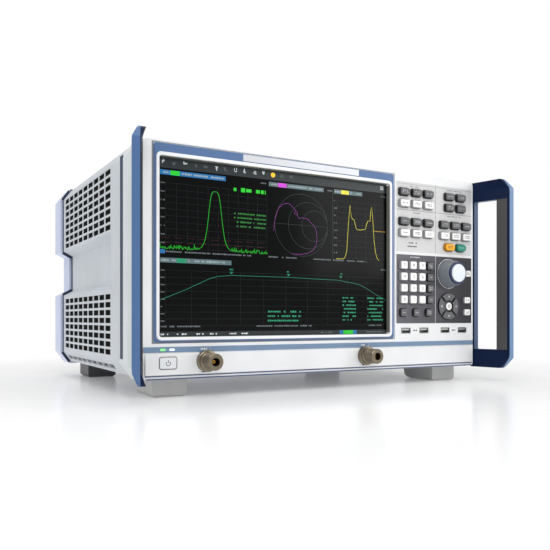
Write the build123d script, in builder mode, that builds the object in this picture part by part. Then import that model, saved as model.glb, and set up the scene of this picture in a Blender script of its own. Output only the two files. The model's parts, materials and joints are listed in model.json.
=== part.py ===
from build123d import *
import os
from math import cos, pi, radians, sin

# Bench vector network analyzer: millimetres, +Z up, the front faces -Y.
# The origin is on the table, under the middle of the whole instrument.
# A depth is measured backwards from the face of the front panel. A place on the
# front panel is (across, down), from the panel's top left corner.

os.makedirs("parts", exist_ok=True)

# Overall size
WIDTH = 462.5
DEPTH = 361.5
HEIGHT = 240.0
FOOT_HEIGHT = 18.0
HANDLE_REACH = 42.5
PANEL_WIDTH = 415.0
BODY_HALF = 220.0
CORNER_X = 11.0
CORNER_Z = 15.0
PANEL_Y = HANDLE_REACH - DEPTH / 2

# Depth of each section of the body
PANEL_THICK = 3.0
FRAME_BACK = 31.0
GROOVE_FRONT = 22.0
GROOVE_BACK = 27.5
FRAME_EDGE = 3.0
COVER_BACK = 279.6
SEAL_BACK = 284.0
BODY_BACK = 319.0
REAR_PANEL_FRONT = 300.0
REAR_PANEL_BACK = 301.5

# Cover sheet and the recess along each side of it
COVER_DROP = 3.0
COVER_WALL = 1.8
WAIST_START = 60.0
WAIST_DEPTH = 11.0
WAIST_EDGES = (103.8, 159.8)
WAIST_FLOOR = (109.7, 154.0)
BUMPER_STEP = 3.0

# Side vents
VENT_COLUMNS = 9
VENT_ROWS = 8
VENT_PITCH_Y = 23.2
VENT_PITCH_Z = 7.84
VENT_SLOT = (19.6, 5.4)
VENT_DEPTH = 165.2
VENT_HEIGHTS = (69.1, 192.9)
VENT_PLATE = (206.4, 62.0)

# Keys and knob
KEY_TRAVEL = 0.8
KEY_GAP = 0.4
KEY_STEP = 1.2
KEY_TAPER = 20
KEY_ROUNDING = 0.5
LIP = 0.8
LIP_THICK = 0.8
FIELD_BACK = 2.6
FIELD_PROUD = 0.2
KEY_BACK = FIELD_BACK + 0.4 + LIP_THICK
KNOB_AT = (374.0, 112.0)
ARROWS_AT = (374.0, 150.6)
ARROW_RADII = (7.0, 15.5)
ARROW_GAP = 2.4
ENTER_RADIUS = 4.5
SHAFT_RADIUS = 3.0
RUNNING_FIT = 0.05

# Test ports, type N: the outer thread is 5/8 inch
PORTS_AT = ((62.5, 205.6), (251.5, 205.6))
PORT_THREAD_RADIUS = 7.9
PORT_REACH = 23.0

UPPER_FIELD = (296.0, 8.7, 412.5, 88.7)
LOWER_FIELD = (296.0, 92.0, 412.5, 170.5)
USB_AT = ((310.0, 178.9), (337.0, 178.9), (370.0, 178.9), (397.5, 178.9))
POWER_AT = (23.8, 206.5)
POWER_SIZE = (16.5, 10.7)
LIGHTS_AT = ((19.0, 194.1), (28.0, 194.1))

# Every group of keys: name, size, corner, how far it stands out, key centres
LEFT_COLUMNS = (306.0, 324.0, 342.0)
RIGHT_COLUMNS = (367.0, 384.5, 402.0)
PAIR_COLUMNS = (375.0, 393.0)
DIGIT_COLUMNS = (305.0, 318.5, 331.8)
DIGIT_ROWS = (104.2, 117.2, 130.2, 143.3)
WIDE_KEY = (15.0, 9.4)
UPPER_KEYS = (
    ("left_dark_keys", WIDE_KEY, 2.4, 4.4, [(a, d) for d in (20.7, 54.4) for a in LEFT_COLUMNS]),
    ("left_light_keys", WIDE_KEY, 2.4, 4.4, [(a, d) for d in (33.8, 67.4) for a in LEFT_COLUMNS]),
    ("right_upper_keys", WIDE_KEY, 2.4, 4.4, [(a, d) for d in (20.7, 33.8) for a in PAIR_COLUMNS]),
    ("right_dark_keys", WIDE_KEY, 2.4, 4.4, [(a, 54.4) for a in RIGHT_COLUMNS]),
    ("right_light_keys", WIDE_KEY, 2.4, 4.4, [(a, 67.4) for a in RIGHT_COLUMNS]),
    ("orange_key", (16.0, 9.4), 4.2, 4.2, [(375.0, 80.6)]),
    ("green_key", (16.0, 9.4), 4.2, 4.2, [(393.0, 80.6)]),
)
LOWER_KEYS = (
    ("digit_keys", (10.6, 10.0), 2.0, 4.0, [(a, d) for d in DIGIT_ROWS for a in DIGIT_COLUMNS]),
    (
        "edit_keys",
        (9.5, 9.0),
        2.0,
        3.2,
        [(345.0, d) for d in DIGIT_ROWS] + [(a, 158.2) for a in (305.0, 324.0, 343.0)],
    ),
    ("side_keys", (10.0, 8.0), 2.0, 3.2, [(404.5, 111.0), (403.5, 143.0), (403.5, 157.5)]),
)

# Folding legs under the front feet
LEG_AXIS_DEPTH = 28.6
LEG_AXIS_Z = 3.4
LEG_RADIUS = 2.4
LEG_PIN_RADIUS = 1.5
LEG_WIDTH = 25.2
LEG_LENGTH = 32.0
FEET_X = 175.5
FOOT_WIDTH = 35.0
FOOT_EDGE = 2.6

# Rear fittings, as (X, Z) on the rear panel
FAN_AT = (-140.0, 165.0)
FAN_SIZE = 92.0
FAN_RADIUS = 43.5
INLET_AT = (-152.0, 62.0)
ROCKER_AT = (-116.0, 62.0)
DRAWER_AT = (110.0, 56.0)
DRAWER_SIZE = (100.0, 20.0)
BNC_AT = [(x, 196.0) for x in (20.0, 60.0, 100.0, 140.0)]
BOARD_TOP = 92.0


def facing(depth):
    """The upright plane at a depth, facing forwards, with X across and Z up."""
    return Plane(origin=(0, PANEL_Y + depth, 0), x_dir=(1, 0, 0), z_dir=(0, -1, 0))


def place(across, down):
    """A point on the front panel as X and Z."""
    return (across - PANEL_WIDTH / 2, HEIGHT - down)


def places(centres):
    return [place(across, down) for across, down in centres]


def middle(area):
    """The centre of an (across, down, across, down) area as X and Z."""
    left, top, right, bottom = area
    return place((left + right) / 2, (top + bottom) / 2)


def extent(area, grow=0.0):
    left, top, right, bottom = area
    return (right - left + 2 * grow, bottom - top + 2 * grow)


def octagon(half, low, high, corner_x, corner_z):
    """A rectangle in X and Z with its four corners cut off."""
    right = [
        (half - corner_x, high),
        (half, high - corner_z),
        (half, low + corner_z),
        (half - corner_x, low),
    ]
    left = [(-x, z) for x, z in reversed(right)]
    return right + left


def waist(side, half, grow=0.0):
    """The sloped recess along one side of the body, as a polygon in X and Z."""
    low_edge, high_edge = WAIST_EDGES
    low_floor, high_floor = WAIST_FLOOR
    slope = (low_floor - low_edge) / WAIST_DEPTH
    floor = half - WAIST_DEPTH
    outside = half + 2.0
    return [
        (side * outside, low_edge - 2.0 * slope - grow),
        (side * floor, low_floor - grow),
        (side * floor, high_floor + grow),
        (side * outside, high_edge + 2.0 * slope + grow),
    ]


# Grooves in the sides of the frame, and the screws that hold the handles
GROOVE_Y = PANEL_Y + (GROOVE_FRONT + GROOVE_BACK) / 2
GROOVE_Z = 132.0
GROOVE_LENGTH = 190.0
GROOVE_STRIP = 2.6
SCREW_RADIUS = 2.0
HANDLE_SCREWS = [(x, z) for x in (-211.0, 211.0) for z in (62, 129, 196)]

# Front frame: the cast ring that carries the panel, the handles and the cover
with BuildPart() as front_frame:
    with BuildSketch(facing(FRAME_BACK)):
        Polygon(*octagon(BODY_HALF, FOOT_HEIGHT, HEIGHT, CORNER_X, CORNER_Z))
        with Locations((0, (HEIGHT + FOOT_HEIGHT) / 2)):
            Rectangle(412, 206, mode=Mode.SUBTRACT)
    extrude(amount=FRAME_BACK - PANEL_THICK)
    with Locations(*[(side * BODY_HALF, GROOVE_Y, GROOVE_Z) for side in (-1, 1)]):
        Box(6, GROOVE_BACK - GROOVE_FRONT, GROOVE_LENGTH, mode=Mode.SUBTRACT)
    for side in (-1, 1):
        with BuildSketch(Plane.XY):
            with BuildLine():
                Polyline(
                    (side * (BODY_HALF - FRAME_EDGE), PANEL_Y),
                    (side * (BODY_HALF - FRAME_EDGE), PANEL_Y + PANEL_THICK),
                    (side * BODY_HALF, PANEL_Y + PANEL_THICK + FRAME_EDGE),
                    (side * (BODY_HALF + 1), PANEL_Y),
                    close=True,
                )
            make_face()
        extrude(amount=HEIGHT, mode=Mode.SUBTRACT)
    with BuildSketch(facing(FRAME_BACK)):
        with Locations(*HANDLE_SCREWS):
            Circle(SCREW_RADIUS + 0.1)
    extrude(amount=FRAME_BACK, mode=Mode.SUBTRACT)
    with BuildSketch(facing(FRAME_BACK)):
        with Locations(*HANDLE_SCREWS):
            Circle(4.0)
    extrude(amount=FRAME_BACK - 12, mode=Mode.SUBTRACT)
front_frame.part.label = "front_frame"
export_step(front_frame.part, "parts/front_frame.step")

# Dark strips in the grooves on both sides of the frame
with BuildPart() as groove_strips:
    strip_x = BODY_HALF - 3 + GROOVE_STRIP / 2
    with Locations(*[(side * strip_x, GROOVE_Y, GROOVE_Z) for side in (-1, 1)]):
        Box(GROOVE_STRIP, GROOVE_BACK - GROOVE_FRONT, GROOVE_LENGTH)
groove_strips.part.label = "groove_strips"
export_step(groove_strips.part, "parts/groove_strips.step")

# Front panel: one plate with windows for the display and the key fields
DISPLAY_WINDOW = (12.5, 10.5, 289.0, 185.5)
with BuildPart() as front_panel:
    with BuildSketch(facing(PANEL_THICK)):
        with Locations((0, (HEIGHT + FOOT_HEIGHT) / 2)):
            RectangleRounded(PANEL_WIDTH, HEIGHT - FOOT_HEIGHT, 4)
        with Locations(middle(DISPLAY_WINDOW)):
            RectangleRounded(*extent(DISPLAY_WINDOW), 5, mode=Mode.SUBTRACT)
        for field in (UPPER_FIELD, LOWER_FIELD):
            with Locations(middle(field)):
                Rectangle(*extent(field), mode=Mode.SUBTRACT)
        with Locations(*places(USB_AT)):
            RectangleRounded(14.2, 6.6, 0.8, mode=Mode.SUBTRACT)
        with Locations(*places(PORTS_AT)):
            Circle(8.0, mode=Mode.SUBTRACT)
        with Locations(place(*POWER_AT)):
            RectangleRounded(
                POWER_SIZE[0] + 2 * KEY_GAP, POWER_SIZE[1] + 2 * KEY_GAP, 2.4, mode=Mode.SUBTRACT
            )
        with Locations(*places(LIGHTS_AT)):
            Circle(1.6, mode=Mode.SUBTRACT)
    extrude(amount=PANEL_THICK)
    surround_pocket = (8.3, 1.2, 294.0, 188.4)
    with BuildSketch(facing(1.5)):
        with Locations(middle(surround_pocket)):
            Rectangle(*extent(surround_pocket))
    extrude(amount=2, mode=Mode.SUBTRACT)
    with BuildSketch(facing(0.6)):
        with Locations(place(PANEL_WIDTH / 2, 194.1)):
            Rectangle(PANEL_WIDTH, 5.2)
    extrude(amount=2, mode=Mode.SUBTRACT)
front_panel.part.label = "front_panel"
export_step(front_panel.part, "parts/front_panel.step")

# Blue surround of the display, with a header above the screen
SURROUND = (10.5, 2.5, 292.0, 187.0)
with BuildPart() as screen_surround:
    with BuildSketch(facing(1.5)):
        with Locations(middle(SURROUND)):
            RectangleRounded(*extent(SURROUND), 2)
        with Locations(middle(DISPLAY_WINDOW)):
            RectangleRounded(*extent(DISPLAY_WINDOW), 5, mode=Mode.SUBTRACT)
    extrude(amount=2)
    chamfer(screen_surround.edges().group_by(Axis.Y)[0], 0.3)
screen_surround.part.label = "screen_surround"
export_step(screen_surround.part, "parts/screen_surround.step")

# White raised ring round the screen
SCREEN_OPENING = (15.5, 14.0, 286.0, 182.4)
BEZEL_PROUD = 1.6
GLASS_FRONT = 4.6
with BuildPart() as screen_bezel:
    with BuildSketch(facing(GLASS_FRONT)):
        with Locations(middle(DISPLAY_WINDOW)):
            RectangleRounded(*extent(DISPLAY_WINDOW), 5)
        with Locations(middle(SCREEN_OPENING)):
            RectangleRounded(*extent(SCREEN_OPENING), 2.5, mode=Mode.SUBTRACT)
    extrude(amount=GLASS_FRONT + BEZEL_PROUD)
    fillet(screen_bezel.faces().sort_by(Axis.Y)[0].edges(), 0.9)
screen_bezel.part.label = "screen_bezel"
export_step(screen_bezel.part, "parts/screen_bezel.step")

# Touch glass, display module and the sheet carrier that holds them to the frame
with BuildPart() as touch_glass:
    with BuildSketch(facing(GLASS_FRONT + 1.8)):
        with Locations(middle(SCREEN_OPENING)):
            Rectangle(*extent(SCREEN_OPENING, 2.5))
    extrude(amount=1.8)
touch_glass.part.label = "touch_glass"
export_step(touch_glass.part, "parts/touch_glass.step")

DISPLAY_BACK = 16.0
with BuildPart() as display_module:
    with BuildSketch(facing(DISPLAY_BACK)):
        with Locations(middle(SCREEN_OPENING)):
            Rectangle(*extent(SCREEN_OPENING, 1.5))
    extrude(amount=DISPLAY_BACK - GLASS_FRONT - 1.8)
display_module.part.label = "display_module"
export_step(display_module.part, "parts/display_module.step")

CARRIER_THICK = 1.5
carrier_area = (1.5, 8.5, 293.0, 190.0)
with BuildPart() as display_carrier:
    with BuildSketch(facing(DISPLAY_BACK + CARRIER_THICK)):
        with Locations(middle(carrier_area)):
            Rectangle(*extent(carrier_area))
        with Locations(middle(SCREEN_OPENING)):
            Rectangle(180, 100, mode=Mode.SUBTRACT)
    extrude(amount=CARRIER_THICK)
    with BuildSketch(facing(DISPLAY_BACK)):
        with Locations(middle(carrier_area)):
            Rectangle(*extent(carrier_area))
            Rectangle(*extent(carrier_area, -1.8), mode=Mode.SUBTRACT)
    extrude(amount=DISPLAY_BACK - PANEL_THICK)
display_carrier.part.label = "display_carrier"
export_step(display_carrier.part, "parts/display_carrier.step")


def cut_key_openings(groups):
    """Sketch an opening with a small gap round every key of the groups."""
    for _, size, corner, _, centres in groups:
        with Locations(*places(centres)):
            RectangleRounded(
                size[0] + 2 * KEY_GAP, size[1] + 2 * KEY_GAP, corner + KEY_GAP, mode=Mode.SUBTRACT
            )


def make_keys(label, size, corner, rise, centres):
    """Tapered caps with softened edges, each on a plunger with a lip behind the field."""
    with BuildPart() as keys:
        with BuildSketch(facing(KEY_BACK)):
            with Locations(*places(centres)):
                RectangleRounded(size[0] + 2 * LIP, size[1] + 2 * LIP, corner)
        extrude(amount=LIP_THICK)
        with BuildSketch(facing(KEY_BACK)):
            with Locations(*places(centres)):
                RectangleRounded(*size, corner)
        extrude(amount=KEY_BACK + KEY_STEP)
        with BuildSketch(facing(-KEY_STEP)):
            with Locations(*places(centres)):
                RectangleRounded(*size, corner)
        extrude(amount=rise - KEY_STEP, taper=KEY_TAPER)
        fillet(keys.edges().group_by(Axis.Y)[0], KEY_ROUNDING)
    keys.part.label = label
    export_step(keys.part, f"parts/{label}.step")


# Silver field with the function keys
with BuildPart() as function_field:
    with BuildSketch(facing(FIELD_BACK)):
        with Locations(middle(UPPER_FIELD)):
            Rectangle(*extent(UPPER_FIELD))
        cut_key_openings(UPPER_KEYS)
    extrude(amount=FIELD_BACK + FIELD_PROUD)
function_field.part.label = "function_field"
export_step(function_field.part, "parts/function_field.step")

# Dark field with the number keys, the knob and the arrow keys
with BuildPart() as entry_field:
    with BuildSketch(facing(FIELD_BACK)):
        with Locations(middle(LOWER_FIELD)):
            Rectangle(*extent(LOWER_FIELD))
        cut_key_openings(LOWER_KEYS)
        with Locations(place(*KNOB_AT)):
            Circle(6.0, mode=Mode.SUBTRACT)
        with Locations(place(*ARROWS_AT)):
            Circle(ARROW_RADII[1] + KEY_GAP, mode=Mode.SUBTRACT)
            Circle(ARROW_RADII[0] - KEY_GAP)
            Circle(ENTER_RADIUS + KEY_GAP, mode=Mode.SUBTRACT)
        for angle in (45, 135):
            with Locations(Location((*place(*ARROWS_AT), 0), (0, 0, angle))):
                Rectangle(2 * ARROW_RADII[1] + 2, ARROW_GAP - 2 * KEY_GAP)
        with Locations(place(*ARROWS_AT)):
            Circle(ENTER_RADIUS + KEY_GAP, mode=Mode.SUBTRACT)
    extrude(amount=FIELD_BACK + FIELD_PROUD)
entry_field.part.label = "entry_field"
export_step(entry_field.part, "parts/entry_field.step")

for group in UPPER_KEYS + LOWER_KEYS:
    make_keys(*group)


def sketch_arrows(grow, gap):
    """Four sectors of a ring, grown by a margin, with a gap between neighbours."""
    with Locations(place(*ARROWS_AT)):
        Circle(ARROW_RADII[1] + grow)
        Circle(ARROW_RADII[0] - grow, mode=Mode.SUBTRACT)
    for angle in (45, 135):
        with Locations(Location((*place(*ARROWS_AT), 0), (0, 0, angle))):
            Rectangle(40, gap, mode=Mode.SUBTRACT)


with BuildPart() as arrow_keys:
    with BuildSketch(facing(KEY_BACK)):
        sketch_arrows(0.6, ARROW_GAP - 1.2)
    extrude(amount=LIP_THICK)
    with BuildSketch(facing(KEY_BACK)):
        sketch_arrows(0, ARROW_GAP)
    extrude(amount=KEY_BACK + 2.4)
    fillet(arrow_keys.edges().group_by(Axis.Y)[0], 0.8)
arrow_keys.part.label = "arrow_keys"
export_step(arrow_keys.part, "parts/arrow_keys.step")

with BuildPart() as enter_key:
    with BuildSketch(facing(KEY_BACK)):
        with Locations(place(*ARROWS_AT)):
            Circle(ENTER_RADIUS + LIP)
    extrude(amount=LIP_THICK)
    with BuildSketch(facing(KEY_BACK)):
        with Locations(place(*ARROWS_AT)):
            Circle(ENTER_RADIUS)
    extrude(amount=KEY_BACK + 2.8)
    fillet(enter_key.edges().group_by(Axis.Y)[0], 0.9)
enter_key.part.label = "enter_key"
export_step(enter_key.part, "parts/enter_key.step")

# Power key in the lower band
with BuildPart() as power_key:
    with BuildSketch(facing(PANEL_THICK + 0.4 + LIP_THICK)):
        with Locations(place(*POWER_AT)):
            RectangleRounded(POWER_SIZE[0] + 2 * LIP, POWER_SIZE[1] + 2 * LIP, 2)
    extrude(amount=LIP_THICK)
    with BuildSketch(facing(PANEL_THICK + 0.4)):
        with Locations(place(*POWER_AT)):
            RectangleRounded(*POWER_SIZE, 2)
    extrude(amount=PANEL_THICK + 0.4 + 1.8)
    fillet(power_key.edges().group_by(Axis.Y)[0], 0.6)
power_key.part.label = "power_key"
export_step(power_key.part, "parts/power_key.step")

# Circuit board behind the keys, with a rubber dome under each one
BOARD_FRONT = 6.2
board_area = (295.0, 8.6, 413.0, 186.5)
all_keys = [centre for group in UPPER_KEYS + LOWER_KEYS for centre in group[4]]
with BuildPart() as key_board:
    with BuildSketch(facing(BOARD_FRONT + 1.6)):
        with Locations(middle(board_area)):
            Rectangle(*extent(board_area))
        with Locations(place(*KNOB_AT)):
            Rectangle(15, 15, mode=Mode.SUBTRACT)
        with Locations(*places(USB_AT)):
            Rectangle(15, 8, mode=Mode.SUBTRACT)
    extrude(amount=1.6)
    with BuildSketch(facing(BOARD_FRONT)):
        with Locations(*places(all_keys)):
            Circle(2.5)
    extrude(amount=1.0)
key_board.part.label = "key_board"
export_step(key_board.part, "parts/key_board.step")

# Encoder: a body on the board, with a bush for the knob's shaft
SHAFT_BACK = 8.0
with BuildPart() as encoder_body:
    with BuildSketch(facing(16)):
        with Locations(place(*KNOB_AT)):
            RectangleRounded(14, 14, 1)
    extrude(amount=12)
    with BuildSketch(facing(4)):
        with Locations(place(*KNOB_AT)):
            Circle(4.6)
    extrude(amount=4.4)
    with BuildSketch(facing(SHAFT_BACK + KEY_TRAVEL + 0.5)):
        with Locations(place(*KNOB_AT)):
            Circle(SHAFT_RADIUS + RUNNING_FIT)
    extrude(amount=12, mode=Mode.SUBTRACT)
encoder_body.part.label = "encoder_body"
export_step(encoder_body.part, "parts/encoder_body.step")

with BuildPart() as knob_shaft:
    with BuildSketch(facing(SHAFT_BACK)):
        with Locations(place(*KNOB_AT)):
            Circle(SHAFT_RADIUS)
    extrude(amount=SHAFT_BACK + 12)
knob_shaft.part.label = "knob_shaft"
export_step(knob_shaft.part, "parts/knob_shaft.step")

# Bright ring that the knob turns in
with BuildPart() as knob_collar:
    with BuildSketch(facing(-FIELD_PROUD)):
        with Locations(place(*KNOB_AT)):
            Circle(17.6)
            Circle(16.9, mode=Mode.SUBTRACT)
    extrude(amount=1.6)
    fillet(knob_collar.edges().group_by(Axis.Y)[0], 0.3)
knob_collar.part.label = "knob_collar"
export_step(knob_collar.part, "parts/knob_collar.step")

# Control knob: a tapered skirt, a narrow ring and a flat cap
KNOB_BACK = -1.6
KNOB_FRONT = -17.2
knob_x, knob_z = place(*KNOB_AT)
knob_plane = Plane(origin=(knob_x, PANEL_Y, knob_z), x_dir=(1, 0, 0), z_dir=(0, 0, 1))
with BuildPart() as control_knob:
    with BuildSketch(knob_plane):
        Polygon(
            (0, KNOB_BACK),
            (16.4, KNOB_BACK),
            (16.4, -3.4),
            (13.9, -14.2),
            (13.0, -15.6),
            (12.2, -15.8),
            (11.8, -16.6),
            (10.8, KNOB_FRONT),
            (0, KNOB_FRONT),
        )
    revolve(axis=Axis((knob_x, PANEL_Y, knob_z), (0, 1, 0)))
    with BuildSketch(facing(KNOB_BACK)):
        with Locations(place(*KNOB_AT)):
            Circle(SHAFT_RADIUS + RUNNING_FIT)
    extrude(amount=10.8, mode=Mode.SUBTRACT)
    with BuildSketch(facing(KNOB_BACK)):
        with Locations(place(*KNOB_AT)):
            Circle(13.0)
            Circle(7.0, mode=Mode.SUBTRACT)
    extrude(amount=8, mode=Mode.SUBTRACT)
control_knob.part.label = "control_knob"
export_step(control_knob.part, "parts/control_knob.step")

# Blue strip with the two status lights, and the raised white band below it
with BuildPart() as port_strip:
    with BuildSketch(facing(0.6)):
        with Locations(place(PANEL_WIDTH / 2, 194.1)):
            Rectangle(PANEL_WIDTH - 1, 5.2)
        with Locations(*places(LIGHTS_AT)):
            RectangleRounded(5.6, 2.2, 1.0, mode=Mode.SUBTRACT)
    extrude(amount=1.0)
port_strip.part.label = "port_strip"
export_step(port_strip.part, "parts/port_strip.step")

with BuildPart() as status_lights:
    with BuildSketch(facing(0.6)):
        with Locations(*places(LIGHTS_AT)):
            RectangleRounded(5.4, 2.0, 0.9)
    extrude(amount=1.2)
    with BuildSketch(facing(4)):
        with Locations(*places(LIGHTS_AT)):
            Circle(1.5)
    extrude(amount=3.4)
status_lights.part.label = "status_lights"
export_step(status_lights.part, "parts/status_lights.step")

BAND = (1.5, 198.0, 413.5, 217.8)
with BuildPart() as port_fascia:
    with BuildSketch(facing(0)):
        with Locations(middle(BAND)):
            RectangleRounded(*extent(BAND), 1.2)
        with Locations(*places(PORTS_AT)):
            Circle(8.0, mode=Mode.SUBTRACT)
        with Locations(place(*POWER_AT)):
            RectangleRounded(
                POWER_SIZE[0] + 2 * KEY_GAP, POWER_SIZE[1] + 2 * KEY_GAP, 2.4, mode=Mode.SUBTRACT
            )
    extrude(amount=1.2)
    chamfer(port_fascia.faces().sort_by(Axis.Y)[0].outer_wire().edges(), 0.6)
port_fascia.part.label = "port_fascia"
export_step(port_fascia.part, "parts/port_fascia.step")


def make_test_port(label, across, down):
    """A type N test port: flange, threaded barrel, and its centre contact in a socket."""
    x, z = place(across, down)
    with BuildPart() as port:
        with BuildSketch(Plane(origin=(x, PANEL_Y, z), x_dir=(1, 0, 0), z_dir=(0, 0, 1))):
            Polygon(
                (0, 20),
                (3.2, 20),
                (3.2, 12),
                (7.9, 12),
                (7.9, -1.2),
                (10.4, -1.2),
                (10.4, -5.2),
                (9.2, -5.8),
                (9.2, -9.0),
                (PORT_THREAD_RADIUS, -9.6),
                (PORT_THREAD_RADIUS, -PORT_REACH + 0.6),
                (PORT_THREAD_RADIUS - 0.6, -PORT_REACH),
                (4.05, -PORT_REACH),
                (4.05, -12.0),
                (1.55, -12.0),
                (1.55, -PORT_REACH + 5.0),
                (0.85, -PORT_REACH + 5.0),
                (0.85, -14.0),
                (0, -14.0),
            )
        revolve(axis=Axis((x, PANEL_Y, z), (0, 1, 0)))
    port.part.label = label
    export_step(port.part, f"parts/{label}.step")


make_test_port("test_port_1", *PORTS_AT[0])
make_test_port("test_port_2", *PORTS_AT[1])

# Front USB sockets: each a folded steel shell round a contact tongue
with BuildPart() as usb_sockets:
    with BuildSketch(facing(16)):
        with Locations(*places(USB_AT)):
            RectangleRounded(13.2, 5.8, 0.6)
    extrude(amount=16.2)
    with BuildSketch(facing(15)):
        with Locations(*places(USB_AT)):
            RectangleRounded(12.4, 5.0, 0.4)
    extrude(amount=16, mode=Mode.SUBTRACT)
    with BuildSketch(facing(15)):
        with Locations(*[(x, z + 1.2) for x, z in places(USB_AT)]):
            Rectangle(11.2, 1.8)
    extrude(amount=14)
usb_sockets.part.label = "usb_sockets"
export_step(usb_sockets.part, "parts/usb_sockets.step")


# Handles: each is an upright loop that leans outwards as it comes forwards
HANDLE_BASE = (PANEL_WIDTH / 2, BODY_HALF - 5.5)
HANDLE_TIP = (WIDTH / 2 - 8.3, WIDTH / 2)
HANDLE_WINDOW = (0.8, 28.2, 38.0, 216.5)
GRIP_DEPTHS = (28.2, 40.2)
GRIP_LENGTH = 178.5
GRIP_PROUD = 1.0
GRIP_INSET = 1.4


HANDLE_LEAN = (HANDLE_TIP[0] - HANDLE_BASE[0]) / (HANDLE_REACH + PANEL_THICK)
GRIP_WIDTH = (GRIP_DEPTHS[1] - GRIP_DEPTHS[0]) * (1 + HANDLE_LEAN**2) ** 0.5

# At its end a handle is narrower and shorter: X at the panel, X in front, depth in front
HANDLE_END = ((207.5, 212.0), (215.7, 222.8), 34.5)
# Height steps and how much of the way to the end shape each has gone
END_STEPS = ((0.0, 0.0), (0.28, 0.07), (0.85, 0.74), (1.0, 1.0))


def handle_outline(side, step=0.0):
    """The handle from above, part of the way from its full shape to its end shape."""
    base, tip, reach = HANDLE_END
    full = (*HANDLE_BASE, *HANDLE_TIP, HANDLE_REACH)
    inner, outer, tip_inner, tip_outer, front = [
        whole + (end - whole) * step for whole, end in zip(full, (*base, *tip, reach))
    ]
    points = [
        (inner, PANEL_THICK),
        (outer, PANEL_THICK),
        (tip_outer, -front),
        (tip_inner, -front),
    ]
    return [(side * x, PANEL_Y + depth) for x, depth in points]


def grip_plane(side):
    """On the inner face of the front bar, facing the other handle."""
    depth = sum(GRIP_DEPTHS) / 2
    x = HANDLE_BASE[0] + HANDLE_LEAN * (depth + PANEL_THICK)
    z = (HANDLE_WINDOW[2] + HANDLE_WINDOW[3]) / 2
    return Plane(
        origin=(side * x, PANEL_Y - depth, z),
        x_dir=(side * HANDLE_LEAN, -1, 0),
        z_dir=(-side, -HANDLE_LEAN, 0),
    )


def make_handle(label, side):
    low, high = FOOT_HEIGHT + CORNER_Z, HEIGHT - CORNER_Z
    with BuildPart() as handle:
        with BuildSketch(Plane.XY.offset(low)):
            Polygon(*handle_outline(side))
        extrude(amount=high - low)
        for start, end in ((high, HEIGHT), (low, FOOT_HEIGHT - 1.5)):
            for index in range(len(END_STEPS) - 1):
                for height, step in END_STEPS[index : index + 2]:
                    with BuildSketch(Plane.XY.offset(start + (end - start) * height)):
                        Polygon(*handle_outline(side, step))
                loft(ruled=True)
        window_back, window_front, window_low, window_high = HANDLE_WINDOW
        with BuildSketch(Plane.YZ.offset(side * (HANDLE_BASE[0] - 10))):
            with Locations(
                (PANEL_Y - (window_front + window_back) / 2, (window_low + window_high) / 2)
            ):
                RectangleRounded(window_front - window_back, window_high - window_low, 1.5)
        extrude(amount=side * 40, mode=Mode.SUBTRACT)
        with BuildSketch(grip_plane(side)):
            Rectangle(GRIP_WIDTH, GRIP_LENGTH)
        extrude(amount=-GRIP_INSET, mode=Mode.SUBTRACT)
        front_edges = handle.edges().group_by(Axis.Y)[0]
        fillet(front_edges.filter_by(Axis.Z), 1.0)
        with BuildSketch(facing(PANEL_THICK)):
            with Locations(*[(x, z) for x, z in HANDLE_SCREWS if x * side > 0]):
                Circle(SCREW_RADIUS)
        extrude(amount=3.0, mode=Mode.SUBTRACT)
    handle.part.label = label
    export_step(handle.part, f"parts/{label}.step")


make_handle("left_handle", -1)
make_handle("right_handle", 1)

with BuildPart() as handle_grips:
    for side in (-1, 1):
        with BuildSketch(grip_plane(side).offset(-GRIP_INSET)):
            Rectangle(GRIP_WIDTH, GRIP_LENGTH)
        extrude(amount=GRIP_INSET + GRIP_PROUD)
handle_grips.part.label = "handle_grips"
export_step(handle_grips.part, "parts/handle_grips.step")

with BuildPart() as handle_screws:
    with BuildSketch(facing(12)):
        with Locations(*HANDLE_SCREWS):
            Circle(SCREW_RADIUS)
    extrude(amount=12)
    with BuildSketch(facing(16)):
        with Locations(*HANDLE_SCREWS):
            Circle(3.8)
            RegularPolygon(2.0, 6, mode=Mode.SUBTRACT)
    extrude(amount=4)
handle_screws.part.label = "handle_screws"
export_step(handle_screws.part, "parts/handle_screws.step")

# Cover: a folded sheet round all four sides, with a recess along each side
cover_corner = CORNER_Z - COVER_DROP
cover_corner_x = CORNER_X * cover_corner / CORNER_Z
cover_low = FOOT_HEIGHT + COVER_DROP
cover_high = HEIGHT - COVER_DROP
with BuildPart() as cover_hollow:
    with BuildSketch(facing(COVER_BACK + 1)):
        Polygon(
            *octagon(
                BODY_HALF - COVER_WALL,
                cover_low + COVER_WALL,
                cover_high - COVER_WALL,
                cover_corner_x,
                cover_corner,
            )
        )
    extrude(amount=COVER_BACK - FRAME_BACK + 2)
    with BuildSketch(facing(COVER_BACK + 1)):
        for side in (-1, 1):
            Polygon(*waist(side, BODY_HALF - COVER_WALL, COVER_WALL))
    extrude(amount=COVER_BACK + 1 - WAIST_START + COVER_WALL, mode=Mode.SUBTRACT)

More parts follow.
